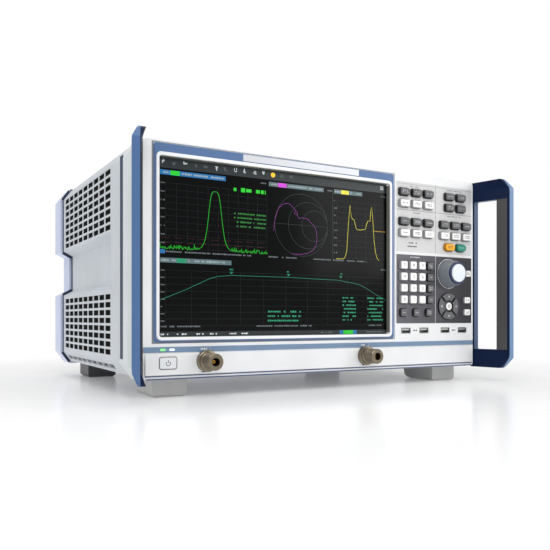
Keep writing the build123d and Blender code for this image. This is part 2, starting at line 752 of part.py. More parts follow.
with BuildPart() as cabinet_cover:
    with BuildSketch(facing(COVER_BACK)):
        Polygon(*octagon(BODY_HALF, cover_low, cover_high, cover_corner_x, cover_corner))
    extrude(amount=COVER_BACK - FRAME_BACK)
    with BuildSketch(facing(COVER_BACK)):
        for side in (-1, 1):
            Polygon(*waist(side, BODY_HALF))
    extrude(amount=COVER_BACK - WAIST_START, mode=Mode.SUBTRACT)
    add(cover_hollow.part, mode=Mode.SUBTRACT)
    with BuildSketch(Plane.YZ.offset(-BODY_HALF - 5)):
        with Locations(*[(PANEL_Y + VENT_DEPTH, height) for height in VENT_HEIGHTS]):
            Rectangle(*VENT_PLATE)
    extrude(amount=2 * BODY_HALF + 10, mode=Mode.SUBTRACT)
    for side in (-1, 1):
        chamfer_middle = (
            side * (BODY_HALF - cover_corner_x / 2),
            PANEL_Y + VENT_DEPTH,
            cover_low + cover_corner / 2,
        )
        outwards = (side * cover_corner, 0, -cover_corner_x)
        with BuildSketch(Plane(origin=chamfer_middle, x_dir=(0, 1, 0), z_dir=outwards)):
            with GridLocations(VENT_PITCH_Y, 1, VENT_COLUMNS, 1):
                Rectangle(*VENT_SLOT)
        extrude(amount=4, both=True, mode=Mode.SUBTRACT)
cabinet_cover.part.label = "cabinet_cover"
export_step(cabinet_cover.part, "parts/cabinet_cover.step")

# Slotted plates set flush in the cover's four side windows
with BuildPart() as side_vent_plates:
    for start in (-BODY_HALF, BODY_HALF - COVER_WALL):
        with BuildSketch(Plane.YZ.offset(start)):
            with Locations(*[(PANEL_Y + VENT_DEPTH, height) for height in VENT_HEIGHTS]):
                Rectangle(*VENT_PLATE)
                with GridLocations(VENT_PITCH_Y, VENT_PITCH_Z, VENT_COLUMNS, VENT_ROWS):
                    Rectangle(*VENT_SLOT, mode=Mode.SUBTRACT)
        extrude(amount=COVER_WALL)
side_vent_plates.part.label = "side_vent_plates"
export_step(side_vent_plates.part, "parts/side_vent_plates.step")

# Dark seal between the cover and the rear frame
with BuildPart() as rear_seal:
    with BuildSketch(facing(SEAL_BACK)):
        Polygon(*octagon(BODY_HALF, cover_low, cover_high, cover_corner_x, cover_corner))
        for side in (-1, 1):
            Polygon(*waist(side, BODY_HALF), mode=Mode.SUBTRACT)
        with Locations((0, (HEIGHT + FOOT_HEIGHT) / 2)):
            Rectangle(410, 198, mode=Mode.SUBTRACT)
    extrude(amount=SEAL_BACK - COVER_BACK)
rear_seal.part.label = "rear_seal"
export_step(rear_seal.part, "parts/rear_seal.step")

# Rear frame: the thick bumper that the instrument can stand on
REAR_OPENING = (410.0, 198.0)
REAR_SCREWS = [(x, z) for x in (-190, 190) for z in (24, 234)]
with BuildPart() as rear_frame:
    with BuildSketch(facing(BODY_BACK)):
        Polygon(*octagon(BODY_HALF + BUMPER_STEP, FOOT_HEIGHT, HEIGHT, CORNER_X, CORNER_Z))
        for side in (-1, 1):
            Polygon(*waist(side, BODY_HALF + BUMPER_STEP), mode=Mode.SUBTRACT)
        with Locations((0, (HEIGHT + FOOT_HEIGHT) / 2)):
            Rectangle(*REAR_OPENING, mode=Mode.SUBTRACT)
    extrude(amount=BODY_BACK - SEAL_BACK)
    chamfer(rear_frame.faces().sort_by(Axis.Y)[-1].outer_wire().edges(), 2.5)
    with BuildSketch(facing(BODY_BACK)):
        with Locations(*REAR_SCREWS):
            Circle(4.5)
    extrude(amount=5, mode=Mode.SUBTRACT)
rear_frame.part.label = "rear_frame"
export_step(rear_frame.part, "parts/rear_frame.step")

with BuildPart() as cover_screws:
    with BuildSketch(facing(BODY_BACK - 1.0)):
        with Locations(*REAR_SCREWS):
            Circle(4.3)
            RegularPolygon(2.2, 6, mode=Mode.SUBTRACT)
    extrude(amount=3)
    with BuildSketch(facing(BODY_BACK - 4)):
        with Locations(*REAR_SCREWS):
            Circle(4.3)
    extrude(amount=1)
cover_screws.part.label = "cover_screws"
export_step(cover_screws.part, "parts/cover_screws.step")

# Rear panel with openings for the fan and every fitting
SOCKET_SIZES = {"network": (16.0, 13.6), "monitor": (18.0, 12.6), "serial": (14.6, 15.0)}
SOCKET_CENTRES = {
    kind: (x, BOARD_TOP + SOCKET_SIZES[kind][1] / 2)
    for kind, x in (("network", 70.0), ("monitor", 106.0), ("serial", 142.0))
}
INLET_SIZE = (31.0, 23.0)
ROCKER_SIZE = (14.0, 21.0)
ROCKER_TILT = radians(7)
with BuildPart() as rear_panel:
    with BuildSketch(facing(REAR_PANEL_BACK)):
        with Locations((0, (HEIGHT + FOOT_HEIGHT) / 2)):
            Rectangle(*REAR_OPENING)
        with Locations(FAN_AT):
            Circle(FAN_RADIUS, mode=Mode.SUBTRACT)
        with Locations(INLET_AT):
            Rectangle(*INLET_SIZE, mode=Mode.SUBTRACT)
        with Locations(ROCKER_AT):
            Rectangle(ROCKER_SIZE[0] + 4, ROCKER_SIZE[1] + 4, mode=Mode.SUBTRACT)
        with Locations(DRAWER_AT):
            Rectangle(DRAWER_SIZE[0] + 1, DRAWER_SIZE[1] + 1, mode=Mode.SUBTRACT)
        for kind, centre in SOCKET_CENTRES.items():
            with Locations(centre):
                Rectangle(*SOCKET_SIZES[kind], mode=Mode.SUBTRACT)
        with Locations(*BNC_AT):
            Circle(6.0, mode=Mode.SUBTRACT)
    extrude(amount=REAR_PANEL_BACK - REAR_PANEL_FRONT)
rear_panel.part.label = "rear_panel"
export_step(rear_panel.part, "parts/rear_panel.step")

# Fan: a square housing, a rotor on its spindle and a wire guard outside
FAN_FRONT = 275.0
HUB_RADIUS = 18.0
with BuildPart() as fan_housing:
    with BuildSketch(facing(REAR_PANEL_FRONT)):
        with Locations(FAN_AT):
            RectangleRounded(FAN_SIZE, FAN_SIZE, 4)
            Circle(FAN_RADIUS, mode=Mode.SUBTRACT)
    extrude(amount=REAR_PANEL_FRONT - FAN_FRONT)
    with BuildSketch(facing(FAN_FRONT + 3)):
        with Locations(FAN_AT):
            Circle(HUB_RADIUS)
            with PolarLocations(32, 3):
                Rectangle(30, 5)
    extrude(amount=3)
    with BuildSketch(facing(FAN_FRONT + 22)):
        with Locations(FAN_AT):
            Circle(SHAFT_RADIUS)
    extrude(amount=20)
fan_housing.part.label = "fan_housing"
export_step(fan_housing.part, "parts/fan_housing.step")

BLADES = 7
with BuildPart() as fan_rotor:
    with BuildSketch(facing(FAN_FRONT + 23.5)):
        with Locations(FAN_AT):
            Circle(HUB_RADIUS)
    extrude(amount=19)
    for blade in range(BLADES):
        angle = 2 * pi * blade / BLADES
        centre_radius = (HUB_RADIUS + FAN_RADIUS) / 2 - 1.2
        centre = (
            FAN_AT[0] + centre_radius * cos(angle),
            PANEL_Y + FAN_FRONT + 14,
            FAN_AT[1] + centre_radius * sin(angle),
        )
        outwards = Vector(cos(angle), 0, sin(angle))
        across = Vector(-sin(angle), 0, cos(angle)) + Vector(0, 0.9, 0)
        with BuildSketch(Plane(origin=centre, x_dir=across, z_dir=outwards)):
            Rectangle(19, 1.8)
        extrude(amount=centre_radius - HUB_RADIUS + 1.2, both=True)
    with BuildSketch(facing(FAN_FRONT + 22.6)):
        with Locations(FAN_AT):
            Circle(SHAFT_RADIUS + RUNNING_FIT)
    extrude(amount=20, mode=Mode.SUBTRACT)
fan_rotor.part.label = "fan_rotor"
export_step(fan_rotor.part, "parts/fan_rotor.step")

WIRE = 1.1
guard_depth = REAR_PANEL_BACK + WIRE
with BuildPart() as fan_guard:
    fan_centre = (FAN_AT[0], PANEL_Y + guard_depth, FAN_AT[1])
    with Locations(Plane(origin=fan_centre, x_dir=(1, 0, 0), z_dir=(0, 1, 0))):
        for ring_radius in (14, 25, 36, 46):
            Torus(ring_radius, WIRE)
    with BuildSketch(facing(guard_depth + WIRE)):
        with Locations(FAN_AT):
            with PolarLocations(0, 4, start_angle=45):
                with Locations((35, 0)):
                    Rectangle(44, 2 * WIRE)
            with PolarLocations(58, 4, start_angle=45):
                Circle(4)
    extrude(amount=2 * WIRE)
fan_guard.part.label = "fan_guard"
export_step(fan_guard.part, "parts/fan_guard.step")

# Mains inlet with three blades in a recess, and the frame of the rocker switch
with BuildPart() as mains_inlet:
    with BuildSketch(facing(REAR_PANEL_BACK + 2)):
        with Locations(INLET_AT):
            RectangleRounded(INLET_SIZE[0] + 5, INLET_SIZE[1] + 5, 2)
    extrude(amount=2)
    with BuildSketch(facing(REAR_PANEL_BACK)):
        with Locations(INLET_AT):
            Rectangle(*INLET_SIZE)
    extrude(amount=24)
    with BuildSketch(facing(REAR_PANEL_BACK + 2)):
        with Locations(INLET_AT):
            Rectangle(24.2, 16.4)
    extrude(amount=18, mode=Mode.SUBTRACT)
    with BuildSketch(facing(REAR_PANEL_BACK - 1)):
        x, z = INLET_AT
        with Locations((x - 7, z - 2), (x + 7, z - 2), (x, z + 2)):
            Rectangle(2, 4)
    extrude(amount=16)
    with BuildSketch(facing(REAR_PANEL_BACK + 2)):
        with Locations(ROCKER_AT):
            RectangleRounded(ROCKER_SIZE[0] + 8, ROCKER_SIZE[1] + 8, 2)
            Rectangle(ROCKER_SIZE[0] + 1.6, ROCKER_SIZE[1] + 2.6, mode=Mode.SUBTRACT)
    extrude(amount=2)
    with BuildSketch(facing(REAR_PANEL_BACK)):
        with Locations(ROCKER_AT):
            Rectangle(ROCKER_SIZE[0] + 4, ROCKER_SIZE[1] + 4)
            Rectangle(ROCKER_SIZE[0] + 1.6, ROCKER_SIZE[1] + 2.6, mode=Mode.SUBTRACT)
    extrude(amount=18)
    with BuildSketch(facing(REAR_PANEL_BACK - 16)):
        with Locations(ROCKER_AT):
            Rectangle(ROCKER_SIZE[0] + 4, ROCKER_SIZE[1] + 4)
    extrude(amount=2)
mains_inlet.part.label = "mains_inlet"
export_step(mains_inlet.part, "parts/mains_inlet.step")

# Rocker of the mains switch, pressed in at its lower end
rocker_x, rocker_z = ROCKER_AT
rocker_plane = Plane(
    origin=(rocker_x - ROCKER_SIZE[0] / 2, PANEL_Y + REAR_PANEL_BACK - 2, rocker_z),
    x_dir=(0, cos(ROCKER_TILT), sin(ROCKER_TILT)),
    z_dir=(1, 0, 0),
)
half = ROCKER_SIZE[1] / 2
with BuildPart() as mains_rocker:
    with BuildSketch(rocker_plane):
        Polygon((2.6, -half), (6.6, -half), (4.8, 0), (6.6, half), (2.6, half), (-7, 3), (-7, -3))
    extrude(amount=ROCKER_SIZE[0])
mains_rocker.part.label = "mains_rocker"
export_step(mains_rocker.part, "parts/mains_rocker.step")

# Removable disk drawer at the rear, with a pull bar across its front plate
with BuildPart() as disk_drawer:
    with BuildSketch(facing(REAR_PANEL_BACK)):
        with Locations(DRAWER_AT):
            Rectangle(*DRAWER_SIZE)
    extrude(amount=110)
    with BuildSketch(facing(REAR_PANEL_BACK + 2)):
        with Locations(DRAWER_AT):
            RectangleRounded(DRAWER_SIZE[0] - 0.4, DRAWER_SIZE[1] - 0.4, 1)
    extrude(amount=4)
    x, z = DRAWER_AT
    with Locations((x, PANEL_Y + REAR_PANEL_BACK + 5.4, z)):
        Box(40, 7, 3)
disk_drawer.part.label = "disk_drawer"
export_step(disk_drawer.part, "parts/disk_drawer.step")

# Rear sockets: network, monitor and serial jacks, and four coaxial sockets
with BuildPart() as rear_data_sockets:
    for kind, centre in SOCKET_CENTRES.items():
        width, height = SOCKET_SIZES[kind]
        with BuildSketch(facing(REAR_PANEL_BACK + 1)):
            with Locations(centre):
                Rectangle(width, height)
        extrude(amount=16)
        with BuildSketch(facing(REAR_PANEL_BACK + 1)):
            with Locations(centre):
                Rectangle(width - 2.4, height - 3.0)
        extrude(amount=11, mode=Mode.SUBTRACT)
rear_data_sockets.part.label = "rear_data_sockets"
export_step(rear_data_sockets.part, "parts/rear_data_sockets.step")

with BuildPart() as rear_bnc_sockets:
    with BuildSketch(facing(REAR_PANEL_BACK + 2)):
        with Locations(*BNC_AT):
            RegularPolygon(8, 6)
    extrude(amount=2)
    with BuildSketch(facing(REAR_PANEL_BACK + 14)):
        with Locations(*BNC_AT):
            Circle(4.8)
            Circle(3.6, mode=Mode.SUBTRACT)
    extrude(amount=12)
    with BuildSketch(facing(REAR_PANEL_BACK + 12)):
        with Locations(*BNC_AT):
            Circle(1.3)
    extrude(amount=10)
    with BuildSketch(facing(REAR_PANEL_BACK)):
        with Locations(*BNC_AT):
            Circle(6.0)
    extrude(amount=12)
rear_bnc_sockets.part.label = "rear_bnc_sockets"
export_step(rear_bnc_sockets.part, "parts/rear_bnc_sockets.step")

# Chassis tray: a folded sheet that carries the modules between the two frames
with BuildPart() as chassis_tray:
    tray_length = COVER_BACK - FRAME_BACK
    tray_y = PANEL_Y + (FRAME_BACK + COVER_BACK) / 2
    with Locations((0, tray_y, 32)):
        Box(400, tray_length, 16)
    with Locations((0, tray_y, 33.5)):
        Box(397, tray_length - 3, 16, mode=Mode.SUBTRACT)
chassis_tray.part.label = "chassis_tray"
export_step(chassis_tray.part, "parts/chassis_tray.step")

with BuildPart() as power_supply:
    with Locations((-145, PANEL_Y + 215, 59)):
        Box(96, 100, 66)
    chamfer(power_supply.edges().filter_by(Axis.Z), 2)
power_supply.part.label = "power_supply"
export_step(power_supply.part, "parts/power_supply.step")

# Receiver module: a milled block with ribs over its screened chambers
with BuildPart() as rf_module:
    with Locations((-55, PANEL_Y + 95, 53)):
        Box(270, 100, 54)
    with Locations((-55, PANEL_Y + 95, 81.5)):
        with GridLocations(44, 46, 6, 2):
            Box(40, 42, 3)
rf_module.part.label = "rf_module"
export_step(rf_module.part, "parts/rf_module.step")

with BuildPart() as mainboard:
    with Locations((70, PANEL_Y + 223, BOARD_TOP - 0.8)):
        Box(230, 150, 1.6)
    with Locations((20, PANEL_Y + 190, BOARD_TOP + 10)):
        Box(60, 60, 20)
    with Locations((120, PANEL_Y + 180, BOARD_TOP + 2)):
        with GridLocations(34, 30, 3, 2):
            Box(22, 18, 4)
    with Locations(*[(x, PANEL_Y + y, 58.1) for x in (-40, 40) for y in (155, 275)]):
        Cylinder(3, 64.6)
mainboard.part.label = "mainboard"
export_step(mainboard.part, "parts/mainboard.step")

# Semi-rigid lines from the two test ports back to the receiver module
CABLE_RADIUS = 1.8
with BuildPart() as port_cables:
    for across, down in PORTS_AT:
        x, z = place(across, down)
        with BuildLine():
            FilletPolyline(
                (x, PANEL_Y + 20, z),
                (x, PANEL_Y + 27, z),
                (x, PANEL_Y + 27, z + 24),
                (x, PANEL_Y + 45, z + 24),
                radius=5,
            )
        with BuildSketch(Plane(origin=(x, PANEL_Y + 20, z), x_dir=(1, 0, 0), z_dir=(0, 1, 0))):
            Circle(CABLE_RADIUS)
        sweep()
port_cables.part.label = "port_cables"
export_step(port_cables.part, "parts/port_cables.step")

# Feet: four blocks with sloped ends; the front two hold a folding leg each
FRONT_FOOT = (17.0, 69.0)
REAR_FOOT = (262.0, 306.0)


def foot_profile(front, back, slope_front, slope_back, front_round, back_round):
    """A foot from the side, with rounded lower corners, cut lower under the frame."""
    points = [
        (PANEL_Y + front, front_round),
        (PANEL_Y + front, FOOT_HEIGHT),
        (PANEL_Y + slope_front, FOOT_HEIGHT),
        (PANEL_Y + slope_front, cover_low),
        (PANEL_Y + slope_back, cover_low),
        (PANEL_Y + slope_back, FOOT_HEIGHT),
        (PANEL_Y + back, FOOT_HEIGHT),
        (PANEL_Y + back, back_round),
    ]
    # Rounded lower corners, in straight steps
    for turn in (30, 60, 90):
        across = back_round * (1 - cos(radians(turn)))
        points.append((PANEL_Y + back - across, back_round * (1 - sin(radians(turn)))))
    for turn in (90, 60, 30):
        across = front_round * (1 - cos(radians(turn)))
        points.append((PANEL_Y + front + across, front_round * (1 - sin(radians(turn)))))
    # A section that ends at the slope has no step there
    return [p for index, p in enumerate(points) if p != points[index - 1]]


LEG_HOLE_RADIUS = LEG_PIN_RADIUS + RUNNING_FIT
LEG_AXIS_Y = PANEL_Y + LEG_AXIS_DEPTH
LEG_POCKET = (LEG_AXIS_DEPTH - 3.2, LEG_AXIS_DEPTH + LEG_LENGTH + 1)
with BuildPart() as feet:
    for side in (-1, 1):
        for foot in (
            (*FRONT_FOOT, FRAME_BACK, FRONT_FOOT[1], 3.0, 10.0),
            (*REAR_FOOT, REAR_FOOT[0], SEAL_BACK, 6.0, 4.0),
        ):
            with BuildSketch(Plane.YZ.offset(side * FEET_X - FOOT_WIDTH / 2)):
                Polygon(*foot_profile(*foot))
            extrude(amount=FOOT_WIDTH)
    bottom_edges = feet.edges().filter_by(Axis.Y).group_by(Axis.Z)[0]
    chamfer(bottom_edges, FOOT_EDGE)
    for side in (-1, 1):
        pocket_y = PANEL_Y + sum(LEG_POCKET) / 2
        with Locations((side * FEET_X, pocket_y, 3.2)):
            Box(LEG_WIDTH + 0.8, LEG_POCKET[1] - LEG_POCKET[0], 6.4, mode=Mode.SUBTRACT)
        with BuildSketch(Plane.YZ.offset(side * FEET_X - 15)):
            with Locations((LEG_AXIS_Y, LEG_AXIS_Z)):
                Circle(LEG_HOLE_RADIUS)
        extrude(amount=30, mode=Mode.SUBTRACT)
feet.part.label = "feet"
export_step(feet.part, "parts/feet.step")


def make_leg(label, side):
    """A folding leg: a flat blade on a barrel with a stub pin at each end."""
    x = side * FEET_X
    with BuildPart() as leg:
        with BuildSketch(Plane.YZ.offset(x - LEG_WIDTH / 2)):
            with Locations((LEG_AXIS_Y, LEG_AXIS_Z)):
                Circle(LEG_RADIUS)
        extrude(amount=LEG_WIDTH)
        with Locations((x, LEG_AXIS_Y + LEG_LENGTH / 2, LEG_AXIS_Z)):
            Box(LEG_WIDTH, LEG_LENGTH, 3.6)
        with BuildSketch(Plane.YZ.offset(x - 14.6)):
            with Locations((LEG_AXIS_Y, LEG_AXIS_Z)):
                Circle(LEG_PIN_RADIUS)
        extrude(amount=29.2)
    leg.part.label = label
    export_step(leg.part, f"parts/{label}.step")


make_leg("left_leg", -1)
make_leg("right_leg", 1)
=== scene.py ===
import json
import math
import random
from collections import defaultdict

import bmesh
import bpy
from mathutils import Matrix, Vector


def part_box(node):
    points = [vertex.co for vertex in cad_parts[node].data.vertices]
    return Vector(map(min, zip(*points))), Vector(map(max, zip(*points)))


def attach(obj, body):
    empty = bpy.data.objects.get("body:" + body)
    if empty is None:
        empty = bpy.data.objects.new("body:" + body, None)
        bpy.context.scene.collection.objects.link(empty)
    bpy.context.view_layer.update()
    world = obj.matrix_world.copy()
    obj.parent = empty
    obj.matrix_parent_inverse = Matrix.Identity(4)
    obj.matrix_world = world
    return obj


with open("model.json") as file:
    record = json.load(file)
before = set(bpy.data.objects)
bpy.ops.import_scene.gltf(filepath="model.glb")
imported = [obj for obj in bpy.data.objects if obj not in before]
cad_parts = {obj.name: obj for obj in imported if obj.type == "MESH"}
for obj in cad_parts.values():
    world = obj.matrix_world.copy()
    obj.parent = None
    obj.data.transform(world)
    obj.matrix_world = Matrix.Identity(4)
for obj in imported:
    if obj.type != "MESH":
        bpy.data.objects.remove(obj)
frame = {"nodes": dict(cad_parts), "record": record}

bl_info = {
    "name": "Bench Network Analyzer",
    "version": (1, 0, 0),
    "blender": (4, 5, 0),
    "location": "3D View > Sidebar > Analyzer",
    "description": "Finishes and details for a bench network analyzer on its packed frame",
    "category": "Add Mesh",
}

MM = 0.001
CABINET = "cabinet"

# The front panel's face, left edge and top edge, and the planes that print lies on
PANEL_LOW, PANEL_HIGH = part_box("front_panel")
PANEL_FACE = PANEL_LOW[1]
FIELD_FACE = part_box("function_field")[0][1]
GLASS_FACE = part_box("touch_glass")[0][1]
STRIP_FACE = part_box("port_strip")[0][1]

# The part of the glass inside the bezel, as (across, down, across, down) in mm
SCREEN = (15.5, 14.0, 286.0, 182.4)

# Key centres in mm from the panel's top left corner
KEY_ROWS = (20.7, 33.8, 54.4, 67.4, 80.6)
LEFT_COLUMNS = (306.0, 324.0, 342.0)
RIGHT_COLUMNS = (367.0, 384.5, 402.0)
PAIR_COLUMNS = (375.0, 393.0)
DIGIT_COLUMNS = (305.0, 318.5, 331.8)
DIGIT_ROWS = (104.2, 117.2, 130.2, 143.3)
DIGITS = ("789", "456", "123", "0.-")
UNIT_COLUMN = 345.0
EDIT_KEYS = ((305.0, 158.2), (324.0, 158.2), (343.0, 158.2))
SIDE_KEYS = ((404.5, 111.0), (403.5, 143.0), (403.5, 157.5))
ARROWS_AT = (374.0, 150.6)
# Marks on the keys: how long they run and their height, and the arrows' place and size
SHORT_MARK, LONG_MARK, MARK_HEIGHT = 4.4, 7.4, 0.9
ARROW_REACH, ARROW_RADIUS = 11.3, 1.7
# X of a handle's inner face at its foot and at its front, the depth of the painted shade on its
# inner faces, and the depth of its foot behind the panel's face
HANDLE_INNER = (207.5, 222.95)
HANDLE_SHADE_SKIN = 0.7
HANDLE_FOOT = 3.0
# Half the body's width; where the beads in the side grooves and along the rear seal lie, as
# depths behind the panel's face and a height; and the rear seal's outline in X and Z
BODY_HALF = 220.0
GROOVE_MIDDLE = 24.6
GROOVE_HEIGHT = 132.0
GROOVE_BEAD = (0.5, 8.5, 190.0)
SEAL_BEAD = (0.8, 6.4)
SEAL_MIDDLE = 281.4
SEAL_PATH = (
    (205.0, 237.0), (211.2, 237.0), (220.0, 225.0), (220.0, 159.8), (209.0, 154.0),
    (209.0, 109.7), (220.0, 103.8), (220.0, 33.0), (211.2, 21.0),
)
# The dark sheets of painted shade behind the vent slots: depth under the cover's face, thickness and
# height
VENT_SHADE_DEPTH = 1.0
VENT_SHADE_THICKNESS = 0.8
VENT_HEIGHT = 62.0
KNOB_AT = (374.0, 112.0)
POWER_AT = (23.8, 206.5)
PORTS_AT = {"test_port_1": (62.5, 205.6), "test_port_2": (251.5, 205.6)}
# Test port thread: where it starts and ends behind the panel's face, crest, flank and root
THREAD_START, THREAD_END = -9.9, -21.6
THREAD_CREST, THREAD_FLANK, THREAD_ROOT = 8.02, 7.72, 7.6
TURN_STEPS = 48

# Satin surfaces: how far the gloss strays, the relief as a share of the grain, and the coat
GLOSS_BELOW, GLOSS_ABOVE = 0.05, 0.07
RELIEF_SHARE = 0.25
COAT_ROUGHNESS = 0.12
CLOUD_MM = 60.0
# Keys: how deep behind its front a key turns from the painted highlight on its face to the painted
# shade on its sides
KEY_LIT_FACE_DEPTH, KEY_SHADED_SIDE_DEPTH = 0.35, 1.1
# Distance from the middle at which the floor starts to fade into the white wall, and ends
FLOOR_FADE = (0.33, 0.62)

# Each light: its name, its place, its size in metres and its power in watts
LIGHTS = (
    ("key_light", (-0.9, -1.6, 1.9), 1.6, 24.0),
    ("fill_light", (1.6, -1.4, 1.0), 1.6, 15.0),
    ("top_light", (0.0, 0.2, 2.2), 2.2, 22.0),
    ("side_light", (-2.0, 0.3, 0.9), 1.4, 8.0),
)
LIGHTS_AIM = (0, 0, 0.1)
# The room's light on the object, and the brighter white that the camera sees behind it
ROOM_LIGHT, WALL_LIGHT = 0.5, 1.0
CAMERA_PLACE = (-0.3986, -0.7229, 0.075)
CAMERA_TURN = -29.4
CAMERA_SHIFT = 0.079


def linear(hex_colour):
    """A hex sRGB colour as linear red, green, blue and alpha."""
    parts = [int(hex_colour[i : i + 2], 16) / 255 for i in (1, 3, 5)]
    return tuple(c / 12.92 if c <= 0.04045 else ((c + 0.055) / 1.055) ** 2.4 for c in parts) + (1.0,)


def place(across, down):
    """A point on the front panel, given in mm, as X and Z in metres."""
    return PANEL_LOW[0] + across * MM, PANEL_HIGH[2] - down * MM


def front_matrix(across, down, y):
    """Puts a flat shape drawn in X and Y on the front, facing forwards."""
    x, z = place(across, down)
    return Matrix.Translation((x, y, z)) @ Matrix.Rotation(math.radians(90), 4, "X")


def add(tree, kind, links, **settings):
    """Adds a node with its settings; links holds a value or a socket for each input."""
    new = tree.nodes.new(kind)
    for name, value in settings.items():
        setattr(new, name, value)
    for name, value in links.items():
        if isinstance(value, bpy.types.NodeSocket):
            tree.links.new(value, new.inputs[name])
        else:
            new.inputs[name].default_value = value
    return new


def start_material(name):
    """An empty material and its tree."""
    material = bpy.data.materials.new(name)
    material.use_nodes = True
    material.node_tree.nodes.clear()
    return material, material.node_tree


def finish_material(tree, shader):
    """Joins the shader to the material's output."""
    add(tree, "ShaderNodeOutputMaterial", {"Surface": shader.outputs[0]})


def own_place(tree):
    """The piece's own coordinates."""
    return add(tree, "ShaderNodeTexCoord", {}).outputs["Object"]


def ranged(tree, value, from_min=0.0, from_max=1.0, to_min=0.0, to_max=1.0):
    """A value carried from one range to another and held inside it."""
    ends = {"From Min": from_min, "From Max": from_max, "To Min": to_min, "To Max": to_max}
    return add(tree, "ShaderNodeMapRange", {"Value": value, **ends}).outputs["Result"]


def blend(tree, factor, low, high):
    """A mix of two colours; sockets 6, 7 and output 2 are the colour ones of this node."""
    mix = add(tree, "ShaderNodeMix", {0: factor, 6: low, 7: high}, data_type="RGBA")
    return mix.outputs[2]


def grain(tree, size_mm, detail=2.0):
    """Noise whose blobs are about size_mm across, on the piece's own coordinates."""
    size = {"Scale": 1 / (size_mm * MM), "Detail": detail}
    noise = add(tree, "ShaderNodeTexNoise", {"Vector": own_place(tree), **size})
    return noise.outputs["Fac"]


def two_tones(tree, factor, dark, light, start=0.3, end=0.7):
    """A colour that runs from dark to light with a factor."""
    ramp = add(tree, "ShaderNodeValToRGB", {"Fac": factor})
    for stop, colour, position in zip(ramp.color_ramp.elements, (dark, light), (start, end)):
        stop.color = colour
        stop.position = position
    return ramp.outputs["Color"]


def shade(hex_colour, factor):
    """A colour made darker or lighter by a factor."""
    return tuple(c * factor for c in linear(hex_colour)[:3]) + (1.0,)


def coated(
    name, hex_colour, grain_mm, roughness, bump, metallic=0.0, coat=0.0, spread=0.05, shine=0.5
):
    """A surface with a fine grain: colour, gloss and relief follow the same grain."""
    material, tree = start_material(name)
    dark, light = shade(hex_colour, 1 - spread), shade(hex_colour, 1 + spread)
    colour = two_tones(tree, grain(tree, CLOUD_MM, 3.0), dark, light)
    satin(tree, colour, grain_mm, roughness, bump, metallic, coat, shine=shine)
    return material


def by_place(tree, axis, start, end, low, high):
    """A colour that goes from low to high between two places along an axis."""
    parts = add(tree, "ShaderNodeSeparateXYZ", {"Vector": own_place(tree)})
    factor = ranged(tree, parts.outputs[axis], start, end)
    return two_tones(tree, factor, linear(low), linear(high), 0.0, 1.0)


def satin(
    tree, colour, grain_mm, roughness, bump, metallic=0.0, coat=0.0, glow=0.0, shine=0.5
):
    """A satin surface with a fine grain under a given colour."""
    fine = grain(tree, grain_mm)
    gloss = ranged(
        tree, fine, to_min=roughness - GLOSS_BELOW, to_max=roughness + GLOSS_ABOVE
    )
    relief = add(
        tree,
        "ShaderNodeBump",
        {"Height": fine, "Strength": bump, "Distance": grain_mm * MM * RELIEF_SHARE},
    )
    surface = add(
        tree,
        "ShaderNodeBsdfPrincipled",
        {
            "Base Color": colour,
            "Metallic": metallic,
            "Roughness": gloss,
            "Normal": relief.outputs["Normal"],
            "Specular IOR Level": shine,
            "Coat Weight": coat,
            "Coat Roughness": COAT_ROUGHNESS,
            "Emission Color": colour,
            "Emission Strength": glow,
        },
    )
    finish_material(tree, surface)


def key_cap(name, top, side, front):
    """A moulded key of one colour, with a painted highlight on its face and painted shade on its
    sides, told apart by depth.
    """
    material, tree = start_material(name)
    start, end = front + KEY_LIT_FACE_DEPTH * MM, front + KEY_SHADED_SIDE_DEPTH * MM
    satin(tree, by_place(tree, "Y", start, end, top, side), 0.35, 0.4, 0.1)
    return material


def faded(name, axis, start, end, low, high, metallic=0.0, glow=0.0):
    """A finish whose colour changes evenly along an axis."""
    material, tree = start_material(name)
    satin(tree, by_place(tree, axis, start, end, low, high), 0.3, 0.4, 0.06, metallic, glow=glow)
    return material


def two_sided_handle():
    """Blue powder coat of one colour, with navy painted shade on the faces turned towards the other
    handle and painted light on the right handle.
    """
    material, tree = start_material("blue_powder_coat_with_painted_shade")
    parts = add(tree, "ShaderNodeSeparateXYZ", {"Vector": own_place(tree)})
    out = add(tree, "ShaderNodeMath", {0: parts.outputs["X"]}, operation="ABSOLUTE")
    # The inner face leans outwards as it comes forwards
    handle_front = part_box("right_handle")[0][1]
    inner = Vector((HANDLE_INNER[0] * MM, PANEL_FACE + HANDLE_FOOT * MM))
    tip = Vector((HANDLE_INNER[1] * MM, handle_front))
    lean = (tip.x - inner.x) / (inner.y - tip.y)
    shade_skin_at = -inner.x - lean * inner.y - HANDLE_SHADE_SKIN * MM
    forward = add(
        tree, "ShaderNodeMath", {0: parts.outputs["Y"], 1: lean, 2: shade_skin_at},
        operation="MULTIPLY_ADD",
    )
    beyond = add(
        tree, "ShaderNodeMath", {0: out.outputs[0], 1: forward.outputs[0]}, operation="ADD"
    )
    outside = ranged(tree, beyond.outputs[0], -0.1 * MM, 0.1 * MM)
    # The left handle is one blue; the right one is paler at its grip than at its foot: painted light
    # near the grip and painted shade near the foot, on the same blue
    right = by_place(tree, "Y", handle_front, PANEL_FACE, "#6586AD", "#3A4E70")
    is_right = ranged(tree, parts.outputs["X"], -1.0 * MM, 1.0 * MM)
    blue_with_painted_light = blend(tree, is_right, linear("#446492"), right)
    # Painted shade: the faces turned towards the other handle are navy
    colour = blend(tree, outside, linear("#0A1B3A"), blue_with_painted_light)
    shine = ranged(tree, outside, to_min=0.1, to_max=0.5)
    satin(tree, colour, 0.8, 0.4, 0.22, shine=shine)
    return material


